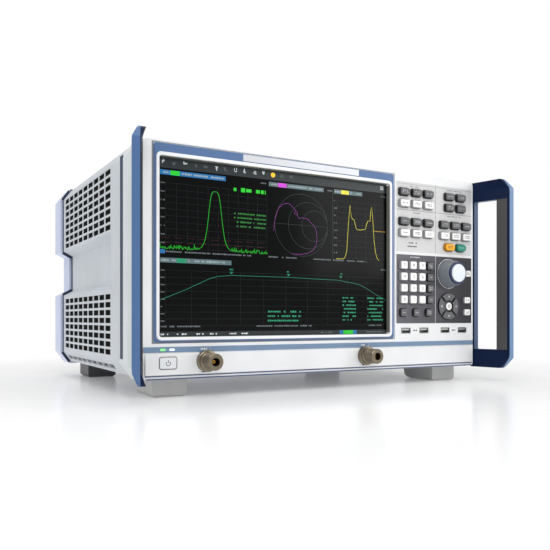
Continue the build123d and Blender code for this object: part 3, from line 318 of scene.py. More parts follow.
def brushed(name, hex_colour, line_mm, roughness, along):
    """Bare metal with fine lines that run along one axis."""
    material, tree = start_material(name)
    stretch = [1.0, 1.0, 1.0]
    stretch["XYZ".index(along)] = 0.04
    mapped = add(tree, "ShaderNodeMapping", {"Vector": own_place(tree), "Scale": stretch})
    noise = add(
        tree,
        "ShaderNodeTexNoise",
        {"Vector": mapped.outputs["Vector"], "Scale": 1 / (line_mm * MM), "Detail": 3.0},
    )
    lines = noise.outputs["Fac"]
    relief = add(
        tree, "ShaderNodeBump", {"Height": lines, "Strength": 0.15, "Distance": 0.02 * MM}
    )
    surface = add(
        tree,
        "ShaderNodeBsdfPrincipled",
        {
            "Base Color": two_tones(tree, lines, shade(hex_colour, 0.9), shade(hex_colour, 1.08)),
            "Metallic": 1.0,
            "Roughness": ranged(tree, lines, to_min=roughness - 0.08, to_max=roughness + 0.12),
            "Normal": relief.outputs["Normal"],
        },
    )
    finish_material(tree, surface)
    return material


def lit(name, hex_colour, strength):
    """A lit part of the display or a lamp: its light dims a little from place to place."""
    material, tree = start_material(name)
    colour = two_tones(tree, grain(tree, 8.0), shade(hex_colour, 0.85), shade(hex_colour, 1.05))
    light = {"Emission Color": colour, "Emission Strength": strength}
    surface = add(
        tree, "ShaderNodeBsdfPrincipled", {"Base Color": colour, "Roughness": 0.3, **light}
    )
    finish_material(tree, surface)
    return material


def studio_floor():
    """White painted floor, soft gloss near the middle, that fades into the white wall."""
    material, tree = start_material("white_painted_floor")
    colour = two_tones(tree, grain(tree, 300.0), linear("#F6F6F6"), linear("#FCFCFC"))
    near = add(
        tree,
        "ShaderNodeBsdfPrincipled",
        {
            "Base Color": colour,
            "Roughness": 0.18,
            "Specular IOR Level": 0.35,
            "Emission Color": colour,
            "Emission Strength": 0.1,
        },
    )
    far = add(tree, "ShaderNodeEmission", {"Color": linear("#FFFFFF"), "Strength": 1.0})
    away = add(tree, "ShaderNodeVectorMath", {0: own_place(tree)}, operation="LENGTH")
    fade = ranged(tree, away.outputs["Value"], *FLOOR_FADE)
    mixed = add(tree, "ShaderNodeMixShader", {0: fade, 1: near.outputs[0], 2: far.outputs[0]})
    finish_material(tree, mixed)
    return material


def key_front(group):
    """Y of the front of a group of keys."""
    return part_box(group)[0][1]


# Ends of the dark field and the gap between the two status lights, both as X; the stretch between the
# front and the rear feet over which the painted shade on the rear feet sets in, as Y
FIELD_ENDS = (place(296, 0)[0], place(412, 0)[0])
LIGHTS_GAP = (place(22.5, 0)[0], place(24.5, 0)[0])
FEET_SHADE_TURN = (PANEL_FACE + 100 * MM, PANEL_FACE + 200 * MM)

FINISHES = {
    # Cast frame, light grey fine-texture powder coat: soft sheen, faint orange peel
    "frame_paint": lambda: coated("light_grey_powder_coat", "#CFD4D5", 0.9, 0.42, 0.25),
    # Sheet panel, smooth white enamel: an even, slightly glossy white
    "panel_paint": lambda: coated("white_enamel", "#E8E9EA", 1.5, 0.34, 0.06, coat=0.15),
    # Moulded ABS in the maker's blue: satin, almost without grain
    "surround_blue": lambda: coated("satin_blue_abs", "#4E6D9A", 0.5, 0.42, 0.08),
    # White moulded ABS ring with a soft gloss
    "bezel_white": lambda: coated("white_gloss_abs", "#EDEFF2", 0.6, 0.28, 0.04, coat=0.2),
    # Printed foil under the upper keys: matt silver with a slight metal glint
    "field_silver": lambda: coated("silver_foil", "#D0D0D0", 0.3, 0.44, 0.08, metallic=0.1),
    # Printed foil under the lower keys: graphite that deepens to the right
    "field_dark": lambda: faded(
        "graphite_foil", "X", *FIELD_ENDS, "#616067", "#25252A", metallic=0.2
    ),
    # Printed foil strip over the test ports: pale, even blue
    "strip_blue": lambda: coated("blue_foil", "#7089A6", 0.4, 0.4, 0.05),
    # Cast handles, one blue powder coat: navy painted shade on the inner faces, and painted light on
    # the right handle
    "handle_blue": two_sided_handle,
    # Soft rubber pads in the handles: dull, dark, fine pores
    "grip_rubber": lambda: coated("dark_soft_rubber", "#3F3F40", 0.6, 0.62, 0.35),
    # Moulded strips in the side grooves: dark navy lines beside the pale frame
    "groove_dark": lambda: coated("navy_moulding", "#1F2F4C", 0.6, 0.5, 0.2),
    # Folded cover, textured powder coat with a cool cast
    "cover_paint": lambda: coated("cool_grey_powder_coat", "#C1C6CC", 0.9, 0.45, 0.25),
    # Rubber seal before the rear frame: matt navy
    "seal_rubber": lambda: coated("navy_rubber", "#1B2A44", 0.8, 0.55, 0.3),
    # Cast rear frame, powder coat: paler and more lilac than the cover
    "bumper_paint": lambda: coated("lilac_grey_powder_coat", "#C8D0E7", 0.9, 0.42, 0.25),
    # Sheet steel back, grey enamel: plain and a little glossy
    "rear_plate": lambda: coated("grey_enamel", "#CBCDCF", 1.2, 0.4, 0.1),
    # Moulded nylon feet, all one grey: painted shade makes the rear feet darker than the front ones
    "foot_plastic": lambda: faded(
        "grey_nylon_with_painted_shade", "Y", *FEET_SHADE_TURN, "#B9B9B8", "#4A4A4B"
    ),
    # Moulded nylon legs, same family as the feet
    "leg_plastic": lambda: coated("grey_nylon_leg", "#ADAFB0", 0.7, 0.5, 0.3),
    # Glass-filled black plastic of the inlet and the sockets' insides
    "inlet_plastic": lambda: coated("black_thermoplastic", "#141416", 0.5, 0.35, 0.1),
    # Fan housings: black moulding with a faint grain
    "fan_plastic": lambda: coated("black_fan_plastic", "#18191B", 0.6, 0.45, 0.15),
    # Moulded drawer front: dark, satin
    "drawer_grey": lambda: coated("dark_carrier_plastic", "#3B3D40", 0.5, 0.45, 0.15),
    # Circuit boards: uneven green lacquer over copper
    "board_green": lambda: coated("green_solder_mask", "#1E6B3C", 1.2, 0.3, 0.1, spread=0.2),
    # Encoder housing: black, nearly plain
    "encoder_grey": lambda: coated("black_encoder_moulding", "#222326", 0.5, 0.4, 0.1),
    # Power key: pale satin plastic
    "key_power": lambda: coated("pale_key_abs", "#E4E6E8", 0.35, 0.34, 0.08),
    # Knob body: mid grey satin plastic
    "knob_grey": lambda: coated("grey_knob_abs", "#737A80", 0.4, 0.33, 0.1),
    # Status lights: one green and lit, one pale, both glowing faintly
    "light_lens": lambda: faded(
        "status_light_lens", "X", *LIGHTS_GAP, "#7FE07F", "#E4EEF2", glow=0.5
    ),
    # Bare metals: fine lines run the way that each was rolled, drawn or turned
    "zinc_screw": lambda: brushed("zinc_plated_steel", "#B9BABA", 0.25, 0.35, "X"),
    "plated_sheet": lambda: brushed("zinc_plated_sheet", "#B5B7B8", 0.5, 0.38, "Y"),
    "display_case": lambda: brushed("tinned_sheet", "#B9BABA", 0.5, 0.35, "X"),
    "psu_steel": lambda: brushed("plated_steel_box", "#AEB1B3", 0.6, 0.4, "Z"),
    "milled_aluminium": lambda: brushed("milled_aluminium", "#D0D1D2", 0.4, 0.32, "X"),
    "cable_copper": lambda: brushed("bare_copper", "#C98563", 0.2, 0.3, "Y"),
    # Ring round the knob: bright, with a hard highlight
    "collar_chrome": lambda: brushed("bright_chrome", "#D9DCDF", 0.2, 0.16, "Z"),
    # Test ports: warm, dark nickel with turned lines
    "connector_nickel": lambda: brushed("warm_nickel", "#837968", 0.15, 0.27, "Y"),
    "socket_steel": lambda: brushed("tinned_shell", "#BFC0BF", 0.3, 0.3, "X"),
    "guard_wire": lambda: brushed("plated_wire", "#B8BABC", 0.2, 0.25, "X"),
    "shaft_steel": lambda: brushed("turned_steel", "#B4B5B6", 0.15, 0.25, "Y"),
    # Bonded touch glass: almost black behind a clear, smooth front
    "screen_glass": lambda: coated(
        "dark_touch_glass", "#050607", 40.0, 0.12, 0.0, spread=0.1, shine=0.14
    ),
}
# Moulded key caps, satin, each of one plastic: the plastic's name, the colour of the face with a
# painted highlight and that of the sides with painted shade
KEY_CAPS = {
    "key_dark": ("charcoal_key_abs_painted_light", "#5F6062", "#0F1012"),
    "key_light": ("white_key_abs_painted_light", "#F2F2F0", "#8E8F92"),
    "key_orange": ("orange_key_abs_painted_light", "#F5AF12", "#B37404"),
    "key_green": ("teal_key_abs_painted_light", "#128A78", "#0A574C"),
}
made = {}


def finish_of(slot):
    """The material for a slot, made once."""
    if slot not in made:
        made[slot] = FINISHES[slot]()
    return made[slot]


def make_piece(name, bm, body, slot, materials=()):
    """Turns a bmesh into a piece that rides on a body and fills a material slot."""
    bmesh.ops.recalc_face_normals(bm, faces=bm.faces)
    mesh = bpy.data.meshes.new(name)
    bm.to_mesh(mesh)
    bm.free()
    piece = bpy.data.objects.new(name, mesh)
    bpy.context.scene.collection.objects.link(piece)
    for material in materials or (finish_of(slot),):
        mesh.materials.append(material)
    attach(piece, body)


def block(bm, across, down, width, height, back, front):
    """A box on the panel: its centre and size in mm, its back and front as Y."""
    x, z = place(across, down)
    size = Matrix.Diagonal((width * MM, abs(back - front), height * MM, 1.0))
    bmesh.ops.create_cube(
        bm, size=1.0, matrix=Matrix.Translation((x, (back + front) / 2, z)) @ size
    )


def ribbon(bm, points, width, back, front):
    """A thin strip of constant width through points on the panel, all in mm."""
    path = [Vector((x, z)) for x, z in (place(*point) for point in points)]
    half = width * MM / 2
    rims = []
    for index, point in enumerate(path):
        along = (path[min(index + 1, len(path) - 1)] - path[max(index - 1, 0)]).normalized()
        side = Vector((-along.y, along.x)) * half
        rims.append([point + side, point - side])
    start = [bm.verts.new((rim.x, back, rim.y)) for rim in rims[0]]
    edge = bm.edges.new(start)
    strip = []
    for rim in rims[1:]:
        grown = bmesh.ops.extrude_edge_only(bm, edges=[edge])["geom"]
        ends = [item for item in grown if isinstance(item, bmesh.types.BMVert)]
        strip += [item for item in grown if isinstance(item, bmesh.types.BMFace)]
        edges = (item for item in grown if isinstance(item, bmesh.types.BMEdge))
        edge = next(item for item in edges if set(item.verts) == set(ends))
        # Each end moves on to its own side of the next point
        start = [
            next(v for v in ends if any(old in e.verts for e in v.link_edges)) for old in start
        ]
        for vert, spot in zip(start, rim):
            vert.co = (spot.x, back, spot.y)
    bmesh.ops.solidify(bm, geom=strip, thickness=abs(back - front))


def words(bm, rng, across, down, width, height, back, front):
    """Marks that stand for a line of small print: short bars of uneven length."""
    at = across
    while at < across + width:
        length = min(rng.uniform(0.55, 1.5) * height, across + width - at)
        if rng.random() > 0.18:
            block(bm, at + length / 2, down, length, height * rng.uniform(0.7, 1.0), back, front)
        at += length + 0.3 * height


def on_screen(x, y):
    """A point in mm from the visible screen's top left corner, as across and down."""
    return SCREEN[0] + x, SCREEN[1] + y


# Green trace: its steps, the peak's middle, height, half width and steepness, and the floor
PEAK_STEPS = 236
PEAK_MIDDLE, PEAK_HEIGHT, PEAK_HALF, PEAK_STEEPNESS = 58.6, 58.2, 7.6, 4.2
FLOOR_DOWN, FLOOR_NOISE = 86.0, 2.2
# Round chart: its middle, and the radius of each ring with how far it sits to the right
CHART_MIDDLE = (157.5, 53.5)
CHART_RINGS = ((32.5, 0.0), (16.2, 16.2), (24.3, 8.2))
# Rows of the display, down from its top edge
TOOLS_DOWN, LABELS_DOWN, SCALE_DOWN, MENU_DOWN = 4.6, 88.2, 158.6, 165.9
TOOLS, TOOL_PITCH, LIT_TOOL, BRIGHT_TOOLS = 14, 10.63, 11, (0, 2, 5, 7, 8, 9, 10)
# Corners of the traces, in mm from the visible screen's top left corner
LOCUS = (
    (124.1, 61.2), (124.3, 55.0), (125.4, 49.3), (127.4, 42.8), (130.4, 37.2), (134.6, 33.4),
    (139.5, 32.1), (143.3, 32.6), (148.3, 37.1), (152.6, 41.2), (150.9, 42.9), (148.3, 41.5),
    (149.6, 39.4), (152.4, 40.6), (151.8, 44.1), (155.0, 46.8), (157.8, 45.2), (160.4, 46.6),
    (163.0, 45.5), (166.0, 47.3), (168.2, 49.6), (173.5, 53.6), (175.7, 59.4), (176.6, 66.8),
    (175.7, 72.8), (171.7, 79.0), (164.7, 82.6), (156.0, 84.2), (145.0, 83.9),
)
DOUBLE_PEAK = (
    (201.3, 86.5), (206.0, 86.6), (211.5, 86.1), (213.8, 82.0), (215.2, 76.8), (216.6, 56.8),
    (217.8, 42.9), (219.4, 27.5), (221.2, 39.6), (222.4, 41.9), (225.1, 43.2), (226.4, 47.8),
    (227.9, 52.6), (231.0, 53.6), (234.1, 53.4), (240.4, 52.2), (241.9, 46.6), (243.8, 42.6),
    (246.7, 43.2), (247.6, 33.0), (248.7, 26.6), (249.8, 33.2), (250.6, 40.5), (252.1, 62.4),
    (254.5, 77.9), (256.6, 83.6), (259.0, 86.3),
)
PASS_BAND = (
    (0.8, 134.0), (8.0, 131.6), (27.8, 123.8), (40.0, 118.2), (53.5, 112.1), (62.0, 110.0),
    (76.0, 108.6), (141.8, 108.5), (177.9, 109.3), (205.0, 109.7), (214.3, 111.3),
    (223.7, 112.3), (232.2, 113.9), (242.8, 118.2), (252.6, 123.2), (268.5, 130.4),
)


class AnalyzerSizes(bpy.types.PropertyGroup):
    trace_width: bpy.props.FloatProperty(
        name="Trace width", description="Width of a graph's line, in mm", default=0.42, min=0.1
    )
    legend_height: bpy.props.FloatProperty(
        name="Legend height", description="Height of a digit on a key, in mm", default=4.2, min=1.0
    )
    thread_pitch: bpy.props.FloatProperty(
        name="Thread pitch", description="Pitch of a test port's thread, in mm", default=1.06
    )
    camera_lens: bpy.props.FloatProperty(
        name="Lens", description="Focal length on a 36 mm sensor, in mm", default=43.3
    )


def finish_frame_nodes():
    """Gives every carried-over node the material of its slot."""
    for part in frame["record"]["subparts"]:
        node = frame["nodes"][part["node"]]
        node.data.materials.clear()
        slot = part["material_slot"]
        if slot in KEY_CAPS:
            plastic, face, sides = KEY_CAPS[slot]
            name = f"{plastic}_{part['node']}"
            material = key_cap(name, face, sides, key_front(part["node"]))
        else:
            material = finish_of(slot)
        node.data.materials.append(material)


class ANALYZER_OT_finishes(bpy.types.Operator):
    """Paint every carried-over piece in its own material"""

    bl_idname = "analyzer.finishes"
    bl_label = "Finish Frame Pieces"

    def execute(self, context):
        finish_frame_nodes()
        return {"FINISHED"}


def graph_grid(bm, left, top, right, bottom, columns, rows, back, front):
    """Fine lines that split an area of the display into columns and rows."""
    for column in range(columns + 1):
        x = left + (right - left) * column / columns
        block(bm, *on_screen(x, (top + bottom) / 2), 0.16, bottom - top, back, front)
    for row in range(rows + 1):
        y = top + (bottom - top) * row / rows
        block(bm, *on_screen((left + right) / 2, y), right - left, 0.16, back, front)


# Back and front of the three thin layers of light on the glass
LAYER_STEP = 0.03 * MM
LOWEST = (GLASS_FACE, GLASS_FACE - LAYER_STEP)
MIDDLE = (LOWEST[1], LOWEST[1] - LAYER_STEP)
TOPMOST = (MIDDLE[1], MIDDLE[1] - LAYER_STEP)

# Colour and strength of each light on the display
DISPLAY_COLOURS = {
    "toolbar": ("#161E21", 0.5), "white": ("#B0B5B6", 0.8), "dim": ("#4F5658", 0.6),
    "amber": ("#E3A91A", 0.9), "tab_blue": ("#125789", 0.8), "tab_grey": ("#46595D", 0.7),
    "green": ("#109E18", 0.9), "magenta": ("#A630AA", 0.9), "yellow": ("#B8AF30", 0.9),
    "mint": ("#0A7351", 0.8), "tab_words": ("#818B8E", 0.6), "grid": ("#14181A", 0.5),
    "smith": ("#272C2F", 0.5), "red": ("#471414", 0.5), "violet": ("#6B2272", 0.8),
    "teal": ("#116850", 0.8), "green_words": ("#0E641C", 0.7),
}

# Tabs over the graphs: ends of the bar, ends of the patch, height, and the two lights
TABS = (
    (2.4, 69.9, 12.7, 22.0, 14.1, "tab_blue", "green"),
    (118.3, 185.0, 129.1, 139.2, 14.1, "tab_grey", "magenta"),
    (198.4, 236.0, 207.7, 218.0, 14.1, "tab_grey", "yellow"),
    (2.4, 76.0, 19.0, 28.5, 96.3, "tab_grey", "mint"),
)


def draw_toolbar(layers, rng):
    """The tool bar with its small signs, and the menu bar's ground."""
    block(layers["toolbar"], *on_screen(135.2, 4.9), 270.3, 10.2, *LOWEST)
    block(layers["toolbar"], *on_screen(135.2, MENU_DOWN), 270.3, 4.8, *LOWEST)
    for index in range(TOOLS):
        x = 6.2 + TOOL_PITCH * index
        if index == LIT_TOOL:
            bmesh.ops.create_cone(
                layers["amber"], segments=20, radius1=2.5 * MM, radius2=2.5 * MM, cap_ends=True,
                depth=0.06 * MM, matrix=front_matrix(*on_screen(x, TOOLS_DOWN), MIDDLE[1]),
            )
            continue
        colour = "white" if index in BRIGHT_TOOLS else "dim"
        for _ in range(4):
            dx, dy = rng.uniform(-1.6, 1.6), rng.uniform(-1.5, 1.5)
            wide = rng.random() > 0.5
            block(
                layers[colour], *on_screen(x + dx, TOOLS_DOWN + dy),
                2.6 if wide else 0.6, 0.6 if wide else 2.6, *MIDDLE,
            )
    for step in range(3):
        block(layers["white"], *on_screen(263.2, 3.0 + 1.6 * step), 4.6, 0.7, *MIDDLE)


def draw_tabs(layers, rng):
    """Each tab: a bar, a coloured patch and marks that stand for words."""
    for left, right, patch_left, patch_right, y, bar, patch in TABS:
        middle, patch_middle = (left + right) / 2, (patch_left + patch_right) / 2
        block(layers[bar], *on_screen(middle, y), right - left, 4.5, *LOWEST)
        block(layers[patch], *on_screen(patch_middle, y), patch_right - patch_left, 4.2, *MIDDLE)
        for start, run in (
            (left + 1, patch_left - left - 2),
            (patch_right + 2, right - patch_right - 4),
        ):
            words(layers["tab_words"], rng, *on_screen(start, y), run, 1.8, *MIDDLE)
    for x, y in ((109, 14.1), (190, 14.1), (262, 14.1), (262, 96.3)):
        words(layers["dim"], rng, *on_screen(x, y), 6, 1.6, *LOWEST)


def draw_grids(layers):
    """The grids behind the graphs, and the rings of the round chart."""
    grid = layers["grid"]
    graph_grid(grid, 8.0, 23.8, 116.0, 85.0, 10, 10, *LOWEST)
    graph_grid(grid, 202.0, 23.8, 266.5, 85.0, 5, 10, *LOWEST)
    block(grid, *on_screen(196.8, 51.0), 0.7, 74.0, *LOWEST)
    graph_grid(grid, 8.0, 105.6, 268.5, 158.0, 10, 8, *LOWEST)
    x, y = CHART_MIDDLE
    for radius, shift in CHART_RINGS:
        turns = [math.tau * step / 64 for step in range(65)]
        points = [
            on_screen(x + shift + radius * math.cos(turn), y - radius * math.sin(turn))
            for turn in turns
        ]
        ribbon(layers["smith"], points, 0.3, *LOWEST)
    block(layers["smith"], *on_screen(x, y), 63.0, 0.25, *LOWEST)


def draw_traces(layers, rng, width):
    """The four curves, with limit lines and markers."""
    # Green pass band over a noise floor, with faint limit lines
    points = []
    for step in range(PEAK_STEPS):
        x = 1.0 + step * 116.0 / PEAK_STEPS
        bell = PEAK_HEIGHT / (1 + (abs(x - PEAK_MIDDLE) / PEAK_HALF) ** PEAK_STEEPNESS)
        noise = abs(rng.gauss(0, FLOOR_NOISE)) if bell < 5 else 0.0
        points.append(on_screen(x, FLOOR_DOWN - max(bell, noise)))
    ribbon(layers["green"], points, width, *MIDDLE)
    for y in (75.0, 79.5):
        for step in range(9):
            block(layers["red"], *on_screen(8 + 12.6 * step, y), 8.5, 0.22, *LOWEST)

    # Violet locus on the round chart
    ribbon(layers["violet"], [on_screen(*point) for point in LOCUS], width, *MIDDLE)

    # Yellow double peak
    ribbon(layers["yellow"], [on_screen(*point) for point in DOUBLE_PEAK], width, *MIDDLE)
    block(layers["amber"], *on_screen(260, 53.6), 16, 0.25, *MIDDLE)

    # Teal transmission curve in the lower window, with three markers
    ribbon(layers["teal"], [on_screen(*point) for point in PASS_BAND], width, *MIDDLE)
    for x in (76.0, 141.5, 207.2):
        block(layers["mint"], *on_screen(x, 105.4), 3.6, 0.6, *TOPMOST)
        block(layers["mint"], *on_screen(x, 106.6), 1.8, 1.0, *TOPMOST)
        words(layers["mint"], rng, *on_screen(x - 2, 102.8), 4, 1.5, *TOPMOST)


def draw_readouts(layers, rng):
    """Blocks of marks in place of words and figures."""
    for row in range(4):
        words(layers["green_words"], rng, *on_screen(79, 47 + 4.2 * row), 36, 1.7, *MIDDLE)
    words(layers["green"], rng, *on_screen(78.5, 23.4), 36, 4.2, *TOPMOST)
    for row in range(3):
        words(layers["mint"], rng, *on_screen(114.5, 144 + 4.6 * row), 42, 1.9, *MIDDLE)
    for row in range(7):
        words(layers["mint"], rng, *on_screen(209.5, 128.5 + 4.0 * row), 18, 1.7, *MIDDLE)
        words(layers["mint"], rng, *on_screen(243, 128.5 + 4.0 * row), 22, 1.7, *MIDDLE)
    for left, run in ((8, 20), (25, 30), (50, 60), (118, 42), (172, 94)):
        words(layers["dim"], rng, *on_screen(left, LABELS_DOWN), run * 0.8, 1.6, *MIDDLE)
    for left, run in ((3, 40), (104, 66), (245, 20)):
        words(layers["dim"], rng, *on_screen(left, SCALE_DOWN), run, 1.6, *MIDDLE)
    for left in (3, 13, 24, 39, 53, 74, 87):
        words(layers["white"], rng, *on_screen(left, MENU_DOWN), 7.5, 1.6, *MIDDLE)
    for left in (180, 240, 252):
        words(layers["dim"], rng, *on_screen(left, MENU_DOWN), 16, 1.5, *MIDDLE)
    block(layers["tab_blue"], *on_screen(217, MENU_DOWN), 23, 4.2, *MIDDLE)
    block(layers["green"], *on_screen(217, MENU_DOWN), 13, 4.0, *TOPMOST)
    block(layers["tab_blue"], *on_screen(4.6, LABELS_DOWN), 5.4, 3.8, *MIDDLE)
    for row in range(8):
        for left in (3.0, 198.5):
            words(layers["dim"], rng, *on_screen(left, 24 + 8 * row), 4.0, 1.3, *MIDDLE)
        words(layers["dim"], rng, *on_screen(3.0, 105.8 + 6.8 * row), 4.0, 1.3, *MIDDLE)


class ANALYZER_OT_screen(bpy.types.Operator):
    """Draw the lit graphs, tabs and marks on the display"""

    bl_idname = "analyzer.screen"
    bl_label = "Screen Picture"

    def execute(self, context):
        rng = random.Random(7)
        layers = defaultdict(bmesh.new)
        draw_toolbar(layers, rng)
        draw_tabs(layers, rng)
        draw_grids(layers)
        draw_traces(layers, rng, context.scene.analyzer_sizes.trace_width)
        draw_readouts(layers, rng)
        for name, bm in layers.items():
            light = lit(f"display_{name}", *DISPLAY_COLOURS[name])
            make_piece(f"screen_{name}", bm, CABINET, slot="screen_glass", materials=(light,))
        return {"FINISHED"}


def ring(bm, area, corner, width, back, front):
    """A rounded rectangular ring on the panel; area is its outside, in mm."""
    left, top, right, bottom = area
    radius = corner - width / 2
    path = []
    for across, down, start in (
        (right - corner, top + corner, 90),
        (right - corner, bottom - corner, 0),
        (left + corner, bottom - corner, -90),
        (left + corner, top + corner, -180),
    ):
        for step in range(5):
            angle = math.radians(start - 22.5 * step)
            path.append((across + radius * math.cos(angle), down - radius * math.sin(angle)))
    # It starts and ends in the middle of a side, so that its two ends meet squarely
    half = ((left + right) / 2, top + width / 2)
    ribbon(bm, [half, *path, half], width, back, front)


def disc(bm, across, down, radius, back, front):
    """A cylinder that stands out from the panel."""
    bmesh.ops.create_cone(
        bm,
        segments=40,
        radius1=radius * MM,
        radius2=radius * MM,
        depth=abs(back - front),
        cap_ends=True,
        matrix=front_matrix(across, down, (back + front) / 2),
    )


def turned(bm, across, down, profile):
    """Turns a profile of (radius, depth behind the panel's face) in mm about a place on it."""
    x, z = place(across, down)
    verts = [bm.verts.new((x + radius * MM, PANEL_FACE + depth * MM, z)) for radius, depth in profile]
    edges = [bm.edges.new(pair) for pair in zip(verts, verts[1:])]
    bmesh.ops.spin(
        bm,
        geom=verts + edges,
        cent=(x, 0, z),
        axis=(0, 1, 0),
        angle=math.tau,
        steps=TURN_STEPS,
        use_merge=True,
        use_duplicate=False,
    )
    bmesh.ops.remove_doubles(bm, verts=bm.verts, dist=0.001 * MM)


def digits(bm, text, across, down, height, back):
    """A digit from the built-in font as a thin raised shape."""
    curve = bpy.data.curves.new("digit", "FONT")
    curve.body = text
    curve.size = height * MM
    curve.extrude = 0.02 * MM
    curve.align_x = "CENTER"
    curve.align_y = "CENTER"
    holder = bpy.data.objects.new("digit", curve)
    mesh = bpy.data.meshes.new_from_object(holder)
    part = bmesh.new()
    part.from_mesh(mesh)
    bmesh.ops.transform(part, matrix=front_matrix(across, down, back), verts=part.verts)
    part.to_mesh(mesh)
    part.free()
    bm.from_mesh(mesh)
    bpy.data.meshes.remove(mesh)
    bpy.data.objects.remove(holder)
    bpy.data.curves.remove(curve)


def bead(bm, side, start, end):
    """A thin bar along the rear seal between two points given as X and Z in mm."""
    first = Vector((side * start[0], 0.0, start[1])) * MM
    last = Vector((side * end[0], 0.0, end[1])) * MM
    run = last - first
    middle = (first + last) / 2
    middle.y = PANEL_FACE + SEAL_MIDDLE * MM
    turn = run.to_track_quat("Z", "Y").to_matrix().to_4x4()
    size = Matrix.Diagonal((SEAL_BEAD[0] * MM, SEAL_BEAD[1] * MM, run.length, 1.0))
    bmesh.ops.create_cube(bm, size=1.0, matrix=Matrix.Translation(middle) @ turn @ size)


def print_layer(front, lift=0.05):
    """Back and front Y of a layer of print on a face."""
    return front, front - lift * MM


def add_name_plate():
    """The blank silver plate on the header, with rounded corners."""
    surround_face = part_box("screen_surround")[0][1]
    bm = bmesh.new()
    block(bm, 172.5, 6.3, 141.0, 6.6, surround_face, surround_face - 0.3 * MM)
    edges = [e for e in bm.edges if abs(e.verts[0].co.y - e.verts[1].co.y) > 0.1 * MM]
    bmesh.ops.bevel(
        bm, geom=edges, offset=0.8 * MM, segments=3, profile=0.5, affect="EDGES", material=-1
    )
    plate = coated("brushed_silver_label", "#D3D6DB", 0.3, 0.3, 0.1, metallic=0.3)
    make_piece("name_plate", bm, CABINET, slot="panel_paint", materials=(plate,))


def add_gasket():
    """Painted reflection on the inside of the screen ring, as a grey lining over its inner walls."""
    left, top, right, bottom = SCREEN
    bezel_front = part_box("screen_bezel")[0][1] + 0.9 * MM
    bm = bmesh.new()
    for across, down, width, height in (
        (left + 0.15, (top + bottom) / 2, 0.3, bottom - top - 4),
        (right - 0.15, (top + bottom) / 2, 0.3, bottom - top - 4),
        ((left + right) / 2, top + 0.15, right - left - 4, 0.3),
        ((left + right) / 2, bottom - 0.15, right - left - 4, 0.3),
    ):
        block(bm, across, down, width, height, GLASS_FACE, bezel_front)
    lining = coated("grey_bezel_painted_reflection", "#77776F", 0.5, 0.45, 0.1)
    make_piece("screen_bezel_painted_reflection", bm, CABINET, slot="bezel_white", materials=(lining,))


def add_surround_gap():
    """Painted shade in the gap along the left and lower sides of the blue surround."""
    bm = bmesh.new()
    floor = PANEL_FACE + 1.5 * MM
    for across, down, width, height in (
        (9.35, 94.8, 1.6, 186.0),
        (151.0, 187.75, 283.0, 1.1),
    ):
        block(bm, across, down, width, height, floor, floor - 0.3 * MM)
    gap = coated("grey_painted_gap_shade", "#8B8F94", 0.6, 0.55, 0.1)
    make_piece("surround_painted_shade", bm, CABINET, slot="panel_paint", materials=(gap,))


def add_edge_lines():
    """Two fine lines along the lower edge."""
    lines = coated("blue_grey_line", "#47597B", 0.4, 0.45, 0.05)
    bm = bmesh.new()
    block(bm, 207.5, 218.5, 411.0, 1.1, PANEL_FACE, PANEL_FACE - 0.5 * MM)
    block(bm, 207.5, 221.3, 409.0, 1.2, PANEL_FACE, PANEL_FACE - 0.3 * MM)
    make_piece("edge_lines", bm, CABINET, slot="strip_blue", materials=(lines,))


def add_field_lines(rng):
    """Divider lines and small marks on the silver field."""
    back, front = print_layer(FIELD_FACE)
    ink = coated("grey_ink", "#7C7E81", 0.4, 0.5, 0.02)
    bm = bmesh.new()
    block(bm, 354.5, 48.7, 0.45, 79.0, back, front)
    block(bm, 325.0, 40.9, 57.5, 0.45, back, front)
    block(bm, 383.5, 40.9, 57.0, 0.45, back, front)
    block(bm, 325.0, 11.2, 57.5, 0.3, back, front)
    block(bm, 383.5, 11.2, 57.0, 0.3, back, front)
    for left, down, run in ((316, 13.6, 14), (372, 12.9, 24), (317, 43.6, 14), (372, 43.6, 22)):
        words(bm, rng, left, down, run, 1.2, back, front)
    make_piece("field_lines", bm, CABINET, slot="field_dark", materials=(ink,))


def add_field_marks(rng):
    """Dark marks under the function keys and beside the USB openings."""
    back, front = print_layer(FIELD_FACE)
    dark_ink = coated("dark_ink", "#3A3B3E", 0.4, 0.5, 0.02)
    bm = bmesh.new()
    for row in range(2):
        words(bm, rng, 312, 78.4 + 4.0 * row, 14, 1.5, back, front)
    usb_row = print_layer(PANEL_FACE)
    for across in (323.5, 383.8):
        words(bm, rng, across - 3.0, 178.9, 6.0, 1.5, *usb_row)
    make_piece("field_marks", bm, CABINET, slot="field_dark", materials=(dark_ink,))


def add_pale_marks(rng):
    """The dark field's divider and heading, and the port numbers on the blue strip."""
    back, front = print_layer(FIELD_FACE)
    pale_ink = coated("pale_ink", "#DADDE0", 0.4, 0.5, 0.02)
    bm = bmesh.new()
    block(bm, 354.5, 131.3, 0.5, 78.0, back, front)
    words(bm, rng, 316, 94.6, 14, 1.1, back, front)
    strip_back, strip_front = print_layer(STRIP_FACE)
    for number, (across, _) in enumerate(PORTS_AT.values(), start=1):
        words(bm, rng, across - 8, 194.1, 9, 2.2, strip_back, strip_front)
        digits(bm, str(number), across + 4.2, 194.1, 3.6, strip_front)
    make_piece("pale_marks", bm, CABINET, slot="panel_paint", materials=(pale_ink,))


def add_side_beads():
    """Navy beads that stand a hair proud of the side grooves and of the rear seal."""
    bm = bmesh.new()
    for side in (-1, 1):
        size = Matrix.Diagonal((*(length * MM for length in GROOVE_BEAD), 1.0))
        spot = (side * BODY_HALF * MM, PANEL_FACE + GROOVE_MIDDLE * MM, GROOVE_HEIGHT * MM)
        bmesh.ops.create_cube(bm, size=1.0, matrix=Matrix.Translation(spot) @ size)
        for start, end in zip(SEAL_PATH, SEAL_PATH[1:]):
            bead(bm, side, start, end)
    make_piece("side_beads", bm, CABINET, slot="groove_dark")


